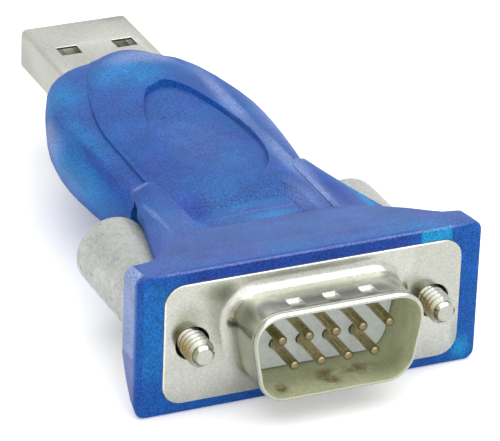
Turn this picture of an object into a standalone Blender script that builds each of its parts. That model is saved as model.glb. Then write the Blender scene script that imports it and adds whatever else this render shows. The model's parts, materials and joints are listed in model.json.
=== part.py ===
"""USB to serial adapter: a translucent plug-in housing with a USB plug at one end, a nine pin
serial connector at the other and two thumbscrews that lock it to a serial socket.

Everything is drawn about the middle of the serial connector's front face: X runs across the
adapter, Y runs from the serial pins back to the USB plug and Z is up. An empty then stands the
whole adapter on the ground, with the middle of its outline at X = Y = 0.
"""
import math

import bmesh
import bpy
from mathutils import Matrix, Vector

MM = 0.001

# Spacing of the two thumbscrews, which also sets the width of the plate and the flange
SCREW_SPACING = 25.0 * MM

# Fits between pieces
FIT_GAP = 0.3 * MM
THREAD_CLEARANCE = 0.33 * MM
KNOB_CLEARANCE = 0.4 * MM

# Serial connector
PLATE_PAST_SCREW = 2.9 * MM
PLATE_HEIGHT = 12.5 * MM
PLATE_CORNER = 2.0 * MM
PLATE_THICKNESS = 0.6 * MM
SHELL_WIDTH = 18.4 * MM
SHELL_HEIGHT = 9.1 * MM
SHELL_CORNER = 2.9 * MM
SHELL_SIDE_ANGLE = math.radians(10.0)
SHELL_DEPTH = 6.0 * MM
SHELL_WALL = 0.45 * MM
SHELL_ROOT_FILLET = 0.7 * MM
SHELL_LIP_TURN = 0.3
DIMPLE_SPACING = 3.7 * MM
DIMPLE_WIDTH = 1.9 * MM
DIMPLE_LENGTH = 1.1 * MM
DIMPLE_DEPTH = 0.2 * MM
DIMPLE_SETBACK = 3.0 * MM
DIMPLE_FLOOR_SHARE = 0.6
REAR_COLLAR_DEPTH = 1.8 * MM
INSULATOR_RECESS = 0.45 * MM
INSULATOR_BACK = 5.4 * MM
INSULATOR_BACK_WIDTH = 16.0 * MM
INSULATOR_BACK_HEIGHT = 6.0 * MM
PIN_RADIUS = 0.5 * MM
PIN_TIP_SETBACK = 0.6 * MM
PIN_PITCH = 2.77 * MM
PIN_ROW_SPACING = 2.84 * MM
PINS_IN_TOP_ROW = 5
PINS_IN_BOTTOM_ROW = 4
PIN_TIP_FLAT = 0.55
PIN_TIP_SHOULDER = 0.9
SOLDER_CUP_RADIUS = 0.62 * MM
SOLDER_CUP_LENGTH = 2.6 * MM
SOLDER_CUP_BORE = 0.6
SOLDER_CUP_FLOOR = 0.3

# Thumbscrews
THREAD_RADIUS = 1.42 * MM
THREAD_REACH = 3.1 * MM
THREAD_POINT = 0.45 * MM
SCREW_END_IN_KNOB = 15.0 * MM
KNOB_RADIUS = 3.75 * MM
KNOB_FRONT = 5.1 * MM
KNOB_BACK = 20.2 * MM
KNOB_EDGE = 0.7 * MM

# USB plug
USB_WIDTH = 12.0 * MM
USB_HEIGHT = 4.5 * MM
USB_WALL = 0.3 * MM
USB_CORNER = 0.6 * MM
USB_SEAM = 0.2 * MM
USB_BOTTOM = 0.52 * MM
USB_TIP = 61.3 * MM
USB_SHELL_LENGTH = 18.7 * MM
USB_HOLE_WIDTH = 2.3 * MM
USB_HOLE_LENGTH = 2.0 * MM
USB_HOLE_SPACING = 6.2 * MM
USB_HOLE_FROM_TIP = 6.5 * MM
TONGUE_SETBACK = 1.0 * MM
TONGUE_HEIGHT = 1.55 * MM
TONGUE_BLOCK_LENGTH = 4.0 * MM
CONTACT_WIDTH = 1.0 * MM
CONTACT_THICKNESS = 0.3 * MM
CONTACT_SPACINGS = (-3.5 * MM, -1.0 * MM, 1.0 * MM, 3.5 * MM)
POWER_CONTACT_SETBACK = 0.9 * MM
DATA_CONTACT_SETBACK = 1.9 * MM
CONTACT_TAIL = 2.4 * MM
CONTACT_LEG_SETBACK = 0.6 * MM

# Circuit board
BOARD_WIDTH = 13.0 * MM
BOARD_THICKNESS = 1.0 * MM
BOARD_CORNER = 0.8 * MM

# Housing: body behind the thumbscrews
WAIST_POSITION = 22.0 * MM
WAIST_HALF_WIDTH = 10.1 * MM
WAIST_SLOPE = 0.13
BELLY_POSITION = 36.0 * MM
BELLY_HALF_WIDTH = 11.5 * MM
TAIL_POSITION = 50.0 * MM
TAIL_HALF_WIDTH = 7.55 * MM
TAIL_SLOPE = -0.44
TAIL_END = 50.1 * MM
TAIL_SIDE_ROUNDING = 2.1 * MM
TAIL_TOP_ROUNDING = 4.2 * MM
TAIL_TOP_DROP = 1.5 * MM
BODY_MIDDLE = 1.9 * MM
BODY_CROWN = 5.85 * MM
TAIL_CROWN = 6.6 * MM
CROWN_RISE_START = 33.0 * MM
CROWN_RISE_END = 45.0 * MM
BODY_UNDERSIDE = -4.35 * MM
TAIL_UNDERSIDE = -3.6 * MM
BODY_TOP_EXPONENT = 3.0
BODY_BOTTOM_EXPONENT = 2.5
WALL = 1.3 * MM

# Housing: flange around the serial connector
FLANGE_RIM = 1.95 * MM
FLANGE_TOP = 7.6 * MM
FLANGE_BOTTOM = -7.4 * MM
FLANGE_CORNER = 1.0 * MM
FLANGE_EDGE = 0.35 * MM
FLANGE_END_DEPTH = 4.4 * MM
FLANGE_CENTRE_DEPTH = 10.4 * MM
FLANGE_TOP_SLOPE = 0.07
FLANGE_TOP_CURVE = 0.0078 / MM
FLANGE_BACK_UNDERSIDE = -5.9 * MM
FLANGE_BACK_CORNER = 4.0 * MM
FLANGE_SQUARE_SHARE = 0.35
FLANGE_FRONT_STATIONS = (0.45, 0.8, 1.0)
FLANGE_BACK_STATIONS = (0.04, 0.15, 0.35, 0.65, 1.0)
NECK_HALF_WIDTH = 8.3 * MM

# Housing: fins that run from the flange along the cover
FIN_TOP = 5.8 * MM
FIN_CREST = 5.65 * MM
FIN_EDGE = 5.0 * MM
FIN_BACK = 22.1 * MM
FIN_INNER_SLANT = 2.3 * MM
FIN_OUTER_SLANT = 0.8 * MM
FIN_FRONT_SHARE = 0.3
FIN_BACK_HALF_WIDTH = 9.4 * MM
FIN_FRONT_HALF_WIDTH = 13.4 * MM
FIN_FLARE_POWER = 1.15
FIN_STATIONS = (0.0, 0.15, 0.4, 0.7, 1.0)
FIN_BAND_BACK = 1.4 * MM
FIN_BAND_FRONT = 0.7 * MM
NOTCH_FRONT = 19.4 * MM
NOTCH_BACK = 21.1 * MM
NOTCH_ROOF = 0.6 * MM

# Cover
COVER_HALF_WIDTH = 7.6 * MM
COVER_FRONT_HALF_WIDTH = 6.65 * MM
COVER_NECK_HALF_WIDTH = 6.75 * MM
COVER_NECK_END = 20.7 * MM
COVER_NECK_FLARE = 1.5 * MM
COVER_TAIL_HALF_WIDTH = 2.8 * MM
COVER_TAPER_POWER = 2.05
COVER_TAPER_START = 31.0 * MM
COVER_SEAT = 3.3 * MM
COVER_PROUD = 0.25 * MM
COVER_TAIL_PROUD = 0.85 * MM
COVER_TAIL_OFFSET = 0.6 * MM
FINGER_REST_MIDDLE = 30.0 * MM
FINGER_REST_OFFSET = 1.4 * MM
FINGER_REST_HALF_LENGTH = 10.9 * MM
FINGER_REST_HALF_WIDTH = 5.0 * MM
FINGER_REST_TAPER = 0.11
FINGER_REST_DEPTH = 0.85 * MM
VALLEY_FRONT_SLOPE = 0.9 * MM
VALLEY_BACK = 15.9 * MM
VALLEY_BACK_SLOPE = 1.1 * MM
VALLEY_SKEW = 1.2 * MM
VALLEY_FLOOR = 4.7 * MM
VALLEY_LIP_DROP = 0.6 * MM
VALLEY_TILT = 0.45 * MM
VALLEY_TILT_AT_MIDDLE = 0.8
VALLEY_SKEW_AT_MIDDLE = 0.9
VALLEY_LEFT = 7.0 * MM
VALLEY_LEFT_WALL = 0.15 * MM
VALLEY_RIGHT = 4.2 * MM
VALLEY_RIGHT_BLEND = 2.4 * MM
APRON_BACK = 20.7 * MM

# Chips and small parts on the board
USB_CHIP_SIZE = (10.2 * MM, 5.3 * MM, 1.7 * MM)
USB_CHIP_PLACE = 25.5 * MM
DRIVER_CHIP_SIZE = (9.9 * MM, 3.9 * MM, 1.5 * MM)
DRIVER_CHIP_PLACE = 14.5 * MM
LEAD_PITCH = 1.27 * MM
LEAD_SIZE = (0.42 * MM, 1.1 * MM, 0.2 * MM)
LEADS_PER_SIDE = 8
CHIP_TAPER = 0.12 * MM
CRYSTAL_SIZE = (10.6 * MM, 4.4 * MM, 2.9 * MM)
CRYSTAL_PLACE = 33.5 * MM
CRYSTAL_BRIM = 0.3 * MM
CRYSTAL_BRIM_HEIGHT = 0.35 * MM
CRYSTAL_ROUNDING = 0.49
CAPACITOR_SIZE = (1.25 * MM, 2.0 * MM, 0.9 * MM)
RESISTOR_SIZE = (0.85 * MM, 1.6 * MM, 0.5 * MM)
SMALL_PART_BEVEL = 0.08

# Fineness of the curved faces
RING_STEPS = 28
BODY_STEPS = 16
TAIL_STEPS = 7
TAPER_STEPS = 10
COVER_STEPS = 12
CAVITY_STEPS = 6
FINGER_REST_STEPS = 44
CORNER_STEPS = 5
USB_CORNER_STEPS = 3
FILLET_STEPS = 3
KNOB_STEPS = 32
KNOB_EDGE_STEPS = 4
SCREW_STEPS = 20
PIN_STEPS = 12

# Places worked out from the sizes above
PLATE_WIDTH = SCREW_SPACING + 2 * PLATE_PAST_SCREW
FLANGE_HALF_WIDTH = PLATE_WIDTH / 2 + FLANGE_RIM
SHELL_RIM = -SHELL_DEPTH
GROUND_SHIFT = Vector((0.0, -(USB_TIP + SHELL_RIM) / 2, -FLANGE_BOTTOM))
REAR_PLATE_FRONT = PLATE_THICKNESS + FIT_GAP
REAR_PLATE_BACK = REAR_PLATE_FRONT + PLATE_THICKNESS
FLANGE_RECESS = REAR_PLATE_BACK + FIT_GAP
BOARD_TOP = BOARD_THICKNESS / 2
PART_SEAT = BOARD_TOP + FIT_GAP
SOLDER_CUP_START = INSULATOR_BACK
BOARD_FRONT = INSULATOR_BACK + FIT_GAP
USB_SHELL_BACK = USB_TIP - USB_SHELL_LENGTH
BOARD_BACK = USB_SHELL_BACK - FIT_GAP
USB_TOP = USB_BOTTOM + USB_HEIGHT
USB_FLOOR = USB_BOTTOM + USB_WALL
TONGUE_BOTTOM = USB_FLOOR + FIT_GAP
TONGUE_TOP = TONGUE_BOTTOM + TONGUE_HEIGHT
CONTACT_TOP = TONGUE_TOP + CONTACT_THICKNESS / 3
CONTACT_BOTTOM = CONTACT_TOP - CONTACT_THICKNESS
KNOB_POCKET = KNOB_RADIUS + KNOB_CLEARANCE
THREAD_HOLE = THREAD_RADIUS + THREAD_CLEARANCE


def smooth_step(value, start, end):
    """Ease from 0 at start to 1 at end."""
    share = min(1.0, max(0.0, (value - start) / (end - start)))
    return share * share * (3 - 2 * share)


def hermite(value, start, end, from_size, to_size, from_slope, to_slope):
    """A cubic from one size to another, with the slope given at each end."""
    span = end - start
    t = (value - start) / span
    first = (1 + 2 * t) * (1 - t) ** 2 * from_size
    second = t * (1 - t) ** 2 * span * from_slope
    third = t * t * (3 - 2 * t) * to_size
    fourth = t * t * (t - 1) * span * to_slope
    return first + second + third + fourth


def body_half_width(y):
    """Half width of the body in plan: a waist, a belly and a narrower tail."""
    if y <= WAIST_POSITION:
        return WAIST_HALF_WIDTH
    if y <= BELLY_POSITION:
        return hermite(y, WAIST_POSITION, BELLY_POSITION, WAIST_HALF_WIDTH, BELLY_HALF_WIDTH,
                       WAIST_SLOPE, 0.0)
    return hermite(y, BELLY_POSITION, TAIL_POSITION, BELLY_HALF_WIDTH, TAIL_HALF_WIDTH,
                   0.0, TAIL_SLOPE)


def body_crown(y):
    """Height of the body's top along the middle."""
    rise = smooth_step(y, CROWN_RISE_START, CROWN_RISE_END)
    return BODY_CROWN + (TAIL_CROWN - BODY_CROWN) * rise


def body_underside(y):
    rise = smooth_step(y, BELLY_POSITION, TAIL_POSITION)
    return BODY_UNDERSIDE + (TAIL_UNDERSIDE - BODY_UNDERSIDE) * rise


def tail_rounding(y, length):
    """How far a rounding of this length has turned over at y: 0 before it and 1 at its end."""
    past = min(1.0, max(0.0, (y - TAIL_END + length) / length))
    return 1 - math.sqrt(1 - past ** 2)


def top_sizes(y):
    """Half width and height of the body's top, with its tail rounded over."""
    half_width = body_half_width(y) - TAIL_SIDE_ROUNDING * tail_rounding(y, TAIL_SIDE_ROUNDING)
    top = body_crown(y) - TAIL_TOP_DROP * tail_rounding(y, TAIL_TOP_ROUNDING)
    return half_width, top


def top_height(x, y, proud=0.0):
    """Height of the body's crowned top at a place, or of a layer that stands above it."""
    half_width, top = top_sizes(y)
    share = max(0.0, 1 - abs(x / half_width) ** BODY_TOP_EXPONENT) ** (1 / BODY_TOP_EXPONENT)
    return BODY_MIDDLE + (top + proud - BODY_MIDDLE) * share


def body_section(y, wall=0.0):
    """One section across the body: a full crown above its middle and a rounder belly below."""
    half_width, top = top_sizes(y)
    half_width -= wall
    top -= wall
    inset = TAIL_SIDE_ROUNDING * tail_rounding(y, TAIL_SIDE_ROUNDING)
    bottom = body_underside(y) + inset + wall
    points = []
    for step in range(RING_STEPS):
        angle = 2 * math.pi * step / RING_STEPS
        upper = step <= RING_STEPS / 2
        exponent = BODY_TOP_EXPONENT if upper else BODY_BOTTOM_EXPONENT
        reach = top - BODY_MIDDLE if upper else BODY_MIDDLE - bottom
        across = math.copysign(abs(math.cos(angle)) ** (2 / exponent), math.cos(angle))
        height = math.copysign(abs(math.sin(angle)) ** (2 / exponent), math.sin(angle))
        if step in (0, RING_STEPS // 2):
            height = 0.0
        points.append(Vector((half_width * across, y, BODY_MIDDLE + reach * height)))
    return points


def body_stations(front):
    """Places along the body, closer together where its tail is rounded over."""
    straight = TAIL_END - TAIL_TOP_ROUNDING
    stations = [front + (straight - front) * step / BODY_STEPS for step in range(BODY_STEPS + 1)]
    for step in range(1, TAIL_STEPS + 1):
        stations.append(straight + TAIL_TOP_ROUNDING * math.sin(math.pi / 2 * step / TAIL_STEPS))
    return stations


def rounded_outline(corners, radius, steps=CORNER_STEPS):
    """Outline of a polygon with each corner rounded to the radius, as (x, z) pairs."""
    points = []
    count = len(corners)
    for index, corner in enumerate(corners):
        here = Vector(corner)
        back = (Vector(corners[index - 1]) - here).normalized()
        ahead = (Vector(corners[(index + 1) % count]) - here).normalized()
        half_angle = back.angle(ahead) / 2
        centre = here + (back + ahead).normalized() * (radius / math.sin(half_angle))
        start = here + back * (radius / math.tan(half_angle)) - centre
        end = here + ahead * (radius / math.tan(half_angle)) - centre
        turn = start.angle_signed(end)
        for step in range(steps + 1):
            angle = -turn * step / steps
            spoke = Matrix.Rotation(angle, 2) @ start
            points.append((centre.x + spoke.x, centre.y + spoke.y))
    return points


def rectangle(width, height, radius, middle=(0.0, 0.0), steps=CORNER_STEPS):
    x, z = middle
    corners = [(x + width / 2, z + height / 2), (x - width / 2, z + height / 2),
               (x - width / 2, z - height / 2), (x + width / 2, z - height / 2)]
    return rounded_outline(corners, radius, steps)


def d_outline(grow=0.0):
    """The serial connector's D outline, wide side up, grown outwards by a distance."""
    half_height = SHELL_HEIGHT / 2 + grow
    lean = math.tan(SHELL_SIDE_ANGLE)
    side = SHELL_WIDTH / 2 - SHELL_HEIGHT / 2 * lean + grow / math.cos(SHELL_SIDE_ANGLE)
    top = side + half_height * lean
    bottom = side - half_height * lean
    corners = [(top, half_height), (-top, half_height), (-bottom, -half_height),
               (bottom, -half_height)]
    return rounded_outline(corners, SHELL_CORNER + grow)


def at_depth(outline, y):
    return [Vector((x, y, z)) for x, z in outline]


def in_plan(outline, z):
    return [Vector((x, y, z)) for x, y in outline]


def skin(mesh, loops):
    """Faces between each loop of corners and the next."""
    count = len(loops[0])
    for here, ahead in zip(loops, loops[1:]):
        for index in range(count):
            following = (index + 1) % count
            mesh.faces.new((here[index], here[following], ahead[following], ahead[index]))


def loft(rings):
    """Solid through a row of rings with equal counts, closed at both ends."""
    mesh = bmesh.new()
    loops = [[mesh.verts.new(point) for point in ring] for ring in rings]
    skin(mesh, loops)
    mesh.faces.new(loops[0])
    mesh.faces.new(loops[-1])
    bmesh.ops.recalc_face_normals(mesh, faces=mesh.faces)
    return mesh


def swept_shell(rings):
    """Solid whose last ring joins the first again, as round a stamped sheet."""
    mesh = bmesh.new()
    loops = [[mesh.verts.new(point) for point in ring] for ring in rings]
    skin(mesh, loops + loops[:1])
    bmesh.ops.recalc_face_normals(mesh, faces=mesh.faces)
    return mesh


def turned(profile, steps):
    """Solid turned about the Y axis from (radius, y) pairs that start and end on the axis."""
    mesh = bmesh.new()
    line = [mesh.verts.new((radius, y, 0.0)) for radius, y in profile]
    edges = [mesh.edges.new(pair) for pair in zip(line, line[1:])]
    bmesh.ops.spin(mesh, geom=line + edges, cent=(0, 0, 0), axis=(0, 1, 0),
                   angle=2 * math.pi, steps=steps, use_merge=True)
    bmesh.ops.remove_doubles(mesh, verts=mesh.verts, dist=0.001 * MM)
    bmesh.ops.recalc_face_normals(mesh, faces=mesh.faces)
    return mesh


def block(low, high):
    """Box between two corners."""
    mesh = bmesh.new()
    size = Vector(high) - Vector(low)
    place = Matrix.Translation((Vector(low) + Vector(high)) / 2) @ Matrix.Diagonal(size).to_4x4()
    bmesh.ops.create_cube(mesh, size=1.0, matrix=place)
    return mesh


def joined(meshes):
    """Several separate solids in one mesh."""
    whole = bmesh.new()
    for mesh in meshes:
        carrier = bpy.data.meshes.new("carrier")
        mesh.to_mesh(carrier)
        whole.from_mesh(carrier)
        bpy.data.meshes.remove(carrier)
        mesh.free()
    return whole


def moved(mesh, x=0.0, y=0.0, z=0.0):
    bmesh.ops.translate(mesh, vec=(x, y, z), verts=mesh.verts)
    return mesh


def material(name, colour, roughness, metallic=0.0, transmission=0.0):
    surface = bpy.data.materials.new(name)
    surface.use_nodes = True
    shader = surface.node_tree.nodes["Principled BSDF"]
    shader.inputs["Base Color"].default_value = (*colour, 1.0)
    shader.inputs["Roughness"].default_value = roughness
    shader.inputs["Metallic"].default_value = metallic
    shader.inputs["Transmission Weight"].default_value = transmission
    surface.diffuse_color = (*colour, 1.0)
    return surface


def place(name, mesh, surface=None, stand=None, location=(0.0, 0.0, 0.0), smooth_angle=30.0):
    """Turn a mesh into a named object under the stand."""
    data = bpy.data.meshes.new(name)
    mesh.to_mesh(data)
    mesh.free()
    if smooth_angle:
        data.shade_smooth()
        data.set_sharp_from_angle(angle=math.radians(smooth_angle))
    item = bpy.data.objects.new(name, data)
    bpy.context.collection.objects.link(item)
    item.parent = stand
    item.location = location
    if surface:
        data.materials.append(surface)
    return item


def tool(name, mesh, stand):
    """A solid that only cuts or joins others."""
    item = place(name, mesh, stand=stand, smooth_angle=0.0)
    item.hide_render = True
    item.display_type = 'WIRE'
    return item


def combine(item, other, operation):
    step = item.modifiers.new(other.name, 'BOOLEAN')
    step.object = other
    step.operation = operation
    step.solver = 'EXACT'


def cover_sides(y):
    """Left and right edge of the cover: a neck between the fins, then a taper to its tail."""
    if y <= COVER_NECK_END:
        share = (y - FLANGE_CENTRE_DEPTH) / (COVER_NECK_END - FLANGE_CENTRE_DEPTH)
        half = COVER_FRONT_HALF_WIDTH + (COVER_NECK_HALF_WIDTH - COVER_FRONT_HALF_WIDTH) * share
        return -half, half
    if y <= COVER_NECK_END + COVER_NECK_FLARE:
        share = (y - COVER_NECK_END) / COVER_NECK_FLARE
        half = COVER_NECK_HALF_WIDTH + (COVER_HALF_WIDTH - COVER_NECK_HALF_WIDTH) * share
        return -half, half
    share = max(0.0, (y - COVER_TAPER_START) / (TAIL_END - COVER_TAPER_START))
    taper = min(1.0, share) ** COVER_TAPER_POWER
    half = COVER_HALF_WIDTH - (COVER_HALF_WIDTH - COVER_TAIL_HALF_WIDTH) * taper
    middle = COVER_TAIL_OFFSET * taper
    return middle - half, middle + half


def cover_stations():
    """Places along the cover, closer together where its tail is rounded over."""
    straight = TAIL_END - TAIL_TOP_ROUNDING
    stations = []
    flare_end = COVER_NECK_END + COVER_NECK_FLARE
    for start, end, steps in ((FLANGE_CENTRE_DEPTH, COVER_NECK_END, TAPER_STEPS // 3),
                              (COVER_NECK_END, flare_end, 1),
                              (flare_end, COVER_TAPER_START, TAPER_STEPS // 3),
                              (COVER_TAPER_START, straight, TAPER_STEPS)):
        stations += [start + (end - start) * step / steps for step in range(steps)]
    for step in range(TAIL_STEPS + 1):
        stations.append(straight + TAIL_TOP_ROUNDING * math.sin(math.pi / 2 * step / TAIL_STEPS))
    return stations


def cover_rise(x, y):
    """How far the cover stands above the body's own crown; at its tail only its middle does."""
    left, right = cover_sides(y)
    tail = smooth_step(y, CROWN_RISE_START, CROWN_RISE_END)
    middle = (left + right) / 2
    arch = max(0.0, 1 - ((x - middle) / (right - middle)) ** 2)
    return COVER_PROUD * (1 - tail) + COVER_TAIL_PROUD * tail * arch


def cover_well():
    """Opening in the housing that the cover sits in, a gap wider than the cover all round."""
    sides = [cover_sides(y) for y in cover_stations()]
    ends = list(zip(cover_stations(), sides))
    ends[0] = (FLANGE_CENTRE_DEPTH - FIT_GAP, sides[0])
    ends.append((TAIL_END + WALL, sides[-1]))
    right = [(side[1] + FIT_GAP, y) for y, side in ends]
    left = [(side[0] - FIT_GAP, y) for y, side in reversed(ends)]
    return loft([in_plan(right + left, COVER_SEAT - FIT_GAP), in_plan(right + left, FLANGE_TOP + WALL)])


def flange_section(y, inset=0.0):
    """Section across the flange: full width at the front, drawn in towards the body behind."""
    depth = min(1.0, max(0.0, (y - FLANGE_END_DEPTH) / (FLANGE_CENTRE_DEPTH - FLANGE_END_DEPTH)))
    narrow = FLANGE_HALF_WIDTH - NECK_HALF_WIDTH
    drawn_in = (FLANGE_SQUARE_SHARE * depth ** 2
                + (1 - FLANGE_SQUARE_SHARE) * math.sqrt(depth))
    half_width = FLANGE_HALF_WIDTH - narrow * drawn_in
    top = FLANGE_TOP - FLANGE_TOP_SLOPE * y - FLANGE_TOP_CURVE * y * y
    lift = min(1.0, y / FLANGE_END_DEPTH) ** 2
    bottom = FLANGE_BOTTOM + (FLANGE_BACK_UNDERSIDE - FLANGE_BOTTOM) * lift
    bottom += (BODY_UNDERSIDE - FLANGE_BACK_UNDERSIDE) * depth
    low_corner = FLANGE_CORNER + (FLANGE_BACK_CORNER - FLANGE_CORNER) * lift
    half_width -= inset
    top -= inset
    bottom += inset
    high = rounded_outline([(half_width, top), (-half_width, top), (-half_width, 0.0),
                            (half_width, 0.0)], FLANGE_CORNER)
    low = rounded_outline([(half_width, 0.0), (-half_width, 0.0), (-half_width, bottom),
                           (half_width, bottom)], low_corner)
    arc = CORNER_STEPS + 1
    return at_depth(high[:2 * arc] + low[2 * arc:], y)


def flange_solid():
    turn = 1 - math.sqrt(0.5)
    rings = [flange_section(0.0, FLANGE_EDGE), flange_section(turn * FLANGE_EDGE, turn * FLANGE_EDGE)]
    rings.append(flange_section(FLANGE_EDGE))
    span = FLANGE_CENTRE_DEPTH - FLANGE_END_DEPTH
    depths = [FLANGE_END_DEPTH * share for share in FLANGE_FRONT_STATIONS]
    depths += [FLANGE_END_DEPTH + span * share for share in FLANGE_BACK_STATIONS]
    rings += [flange_section(y) for y in depths]
    return loft(rings)


def fin_solid(side):
    """One fin: a flat crest with a sloping band on its outer edge, flared out to the flange."""
    rings = []
    front = FLANGE_END_DEPTH + FIN_FRONT_SHARE * (FLANGE_CENTRE_DEPTH - FLANGE_END_DEPTH)
    inner = COVER_FRONT_HALF_WIDTH - WALL
    for share in FIN_STATIONS:
        y = FIN_BACK + (front - FIN_BACK) * share
        inward = FIN_INNER_SLANT * (1 - share)
        outward = FIN_OUTER_SLANT * (1 - share)
        flare = share ** FIN_FLARE_POWER
        edge = FIN_BACK_HALF_WIDTH + (FIN_FRONT_HALF_WIDTH - FIN_BACK_HALF_WIDTH) * flare
        crest = edge - FIN_BAND_BACK - (FIN_BAND_FRONT - FIN_BAND_BACK) * share
        outline = [(inner, y - inward, BODY_MIDDLE), (crest, y, BODY_MIDDLE),
                   (edge, y + outward, BODY_MIDDLE), (edge, y + outward, FIN_EDGE),
                   (crest, y, FIN_CREST), (inner, y - inward, FIN_TOP)]
        rings.append([Vector((side * x, depth, z)) for x, depth, z in outline])
    return loft(rings)


def usb_opening():
    grow = FIT_GAP
    outline = rectangle(USB_WIDTH + 2 * grow, USB_HEIGHT + 2 * grow, USB_CORNER + grow,
                        (0.0, USB_BOTTOM + USB_HEIGHT / 2))
    return loft([at_depth(outline, USB_SHELL_BACK - grow), at_depth(outline, TAIL_END + WALL)])


def cavity_solid():
    """Space inside the body, one wall in from its skin."""
    front = NOTCH_BACK + WALL
    back = USB_SHELL_BACK + 2 * WALL
    return loft([body_section(front + (back - front) * step / CAVITY_STEPS, WALL)
                 for step in range(CAVITY_STEPS + 1)])


def neck_cavity():
    half = BOARD_WIDTH / 2 + FIT_GAP
    top = VALLEY_FLOOR - WALL
    outline = rectangle(2 * half, top - BODY_UNDERSIDE - WALL, BOARD_CORNER,
                        (0.0, (top + BODY_UNDERSIDE + WALL) / 2))
    return loft([at_depth(outline, FLANGE_RECESS), at_depth(outline, NOTCH_BACK + 2 * WALL)])


def build_housing(stand, surface):
    body = loft([body_section(y) for y in body_stations(FLANGE_END_DEPTH)])
    housing = place("main_housing", body, surface, stand)
    combine(housing, tool("flange_form", flange_solid(), stand), 'UNION')
    combine(housing, tool("fin_forms", joined([fin_solid(-1), fin_solid(1)]), stand), 'UNION')

    plate = rectangle(PLATE_WIDTH + 2 * FIT_GAP, PLATE_HEIGHT + 2 * FIT_GAP,
                      PLATE_CORNER + FIT_GAP)
    recess = loft([at_depth(plate, -WALL), at_depth(plate, FLANGE_RECESS)])
    collar = d_outline(SHELL_WALL + 2 * FIT_GAP)
    collar_room = loft([at_depth(collar, 0.0),
                        at_depth(collar, REAR_PLATE_BACK + REAR_COLLAR_DEPTH + FIT_GAP)])
    back = rectangle(INSULATOR_BACK_WIDTH + 2 * FIT_GAP, INSULATOR_BACK_HEIGHT + 2 * FIT_GAP,
                     BOARD_CORNER)
    block_room = loft([at_depth(back, 0.0), at_depth(back, INSULATOR_BACK + FIT_GAP)])
    for name, mesh in (("cover_well", cover_well()), ("plate_recess", recess),
                       ("collar_room", collar_room), ("insulator_room", block_room),
                       ("neck_cavity", neck_cavity()), ("body_cavity", cavity_solid()),
                       ("plug_opening", usb_opening())):
        combine(housing, tool(name, mesh, stand), 'DIFFERENCE')

    pockets = []
    holes = []
    notches = []
    front = KNOB_FRONT - KNOB_CLEARANCE
    inner = BOARD_WIDTH / 2 + FIT_GAP + WALL
    for side in (-1, 1):
        x = side * SCREW_SPACING / 2
        pocket = turned([(0.0, front), (KNOB_POCKET, front), (KNOB_POCKET, NOTCH_BACK),
                         (0.0, NOTCH_BACK)], KNOB_STEPS)
        hole = turned([(0.0, 0.0), (THREAD_HOLE, 0.0), (THREAD_HOLE, KNOB_FRONT),
                       (0.0, KNOB_FRONT)], SCREW_STEPS)
        pockets.append(moved(pocket, x=x))
        holes.append(moved(hole, x=x))
        low, high = sorted((side * inner, side * FLANGE_HALF_WIDTH))
        notches.append(block((low, NOTCH_FRONT, FLANGE_BOTTOM),
                             (high, NOTCH_BACK, FIN_EDGE - NOTCH_ROOF)))
    for name, meshes in (("knob_pockets", pockets), ("screw_holes", holes),
                         ("finger_notches", notches)):
        combine(housing, tool(name, joined(meshes), stand), 'DIFFERENCE')
    return housing


def finger_rest():
    """Cutter for the oval recess: it sinks a constant depth below the cover's crowned top."""
    rings = []
    for level in (-FINGER_REST_DEPTH, WALL):
        ring = []
        for step in range(FINGER_REST_STEPS):
            angle = 2 * math.pi * step / FINGER_REST_STEPS
            y = FINGER_REST_MIDDLE + FINGER_REST_HALF_LENGTH * math.sin(angle)
            taper = 1 - FINGER_REST_TAPER * math.sin(angle)
            x = FINGER_REST_OFFSET + FINGER_REST_HALF_WIDTH * taper * math.cos(angle)
            ring.append(Vector((x, y, top_height(0.0, y, cover_rise(0.0, y)) + level)))
        rings.append(ring)
    return loft(rings)


def valley_cutter():
    """Trough across the cover in front of the finger rest: steep at its left, soft at its right."""
    crown = BODY_CROWN + COVER_PROUD
    outline = [(FLANGE_CENTRE_DEPTH + VALLEY_FRONT_SLOPE, VALLEY_FLOOR, 0.0),
               (VALLEY_BACK - VALLEY_BACK_SLOPE, VALLEY_FLOOR, 1.0),
               (VALLEY_BACK, crown - VALLEY_LIP_DROP, 1.0), (APRON_BACK, crown, 0.0),
               (APRON_BACK, FLANGE_TOP, 0.0), (FLANGE_CENTRE_DEPTH - WALL, FLANGE_TOP, 0.0),
               (FLANGE_CENTRE_DEPTH - WALL, BODY_CROWN, 0.0)]
    clear = FLANGE_TOP - VALLEY_FLOOR
    rings = []
    for x, lift, skew in ((-VALLEY_LEFT - VALLEY_LEFT_WALL, clear, 0.0),
                          (-VALLEY_LEFT, 0.0, 0.0),
                          (-VALLEY_LEFT / 2, VALLEY_TILT / 2, VALLEY_SKEW / 2),
                          (0.0, VALLEY_TILT_AT_MIDDLE * VALLEY_TILT,
                           VALLEY_SKEW_AT_MIDDLE * VALLEY_SKEW),
                          (VALLEY_RIGHT, VALLEY_TILT, VALLEY_SKEW),
                          (VALLEY_RIGHT + VALLEY_RIGHT_BLEND, clear, VALLEY_SKEW)):
        fall = top_height(x, VALLEY_BACK) - top_height(0.0, VALLEY_BACK)
        rings.append([Vector((x, y + skew * share, z + fall + lift)) for y, z, share in outline])
    return loft(rings)


def cover_blank():
    """The cover before it is cut: crowned above and flat where it sits in the housing."""
    rings = []
    for y in cover_stations():
        left, right = cover_sides(y)
        ring = [Vector((right, y, COVER_SEAT)), Vector((left, y, COVER_SEAT))]
        for step in range(COVER_STEPS + 1):
            x = left + (right - left) * step / COVER_STEPS
            ring.append(Vector((x, y, top_height(x, y, cover_rise(x, y)))))
        rings.append(ring)
    return loft(rings)


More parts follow.
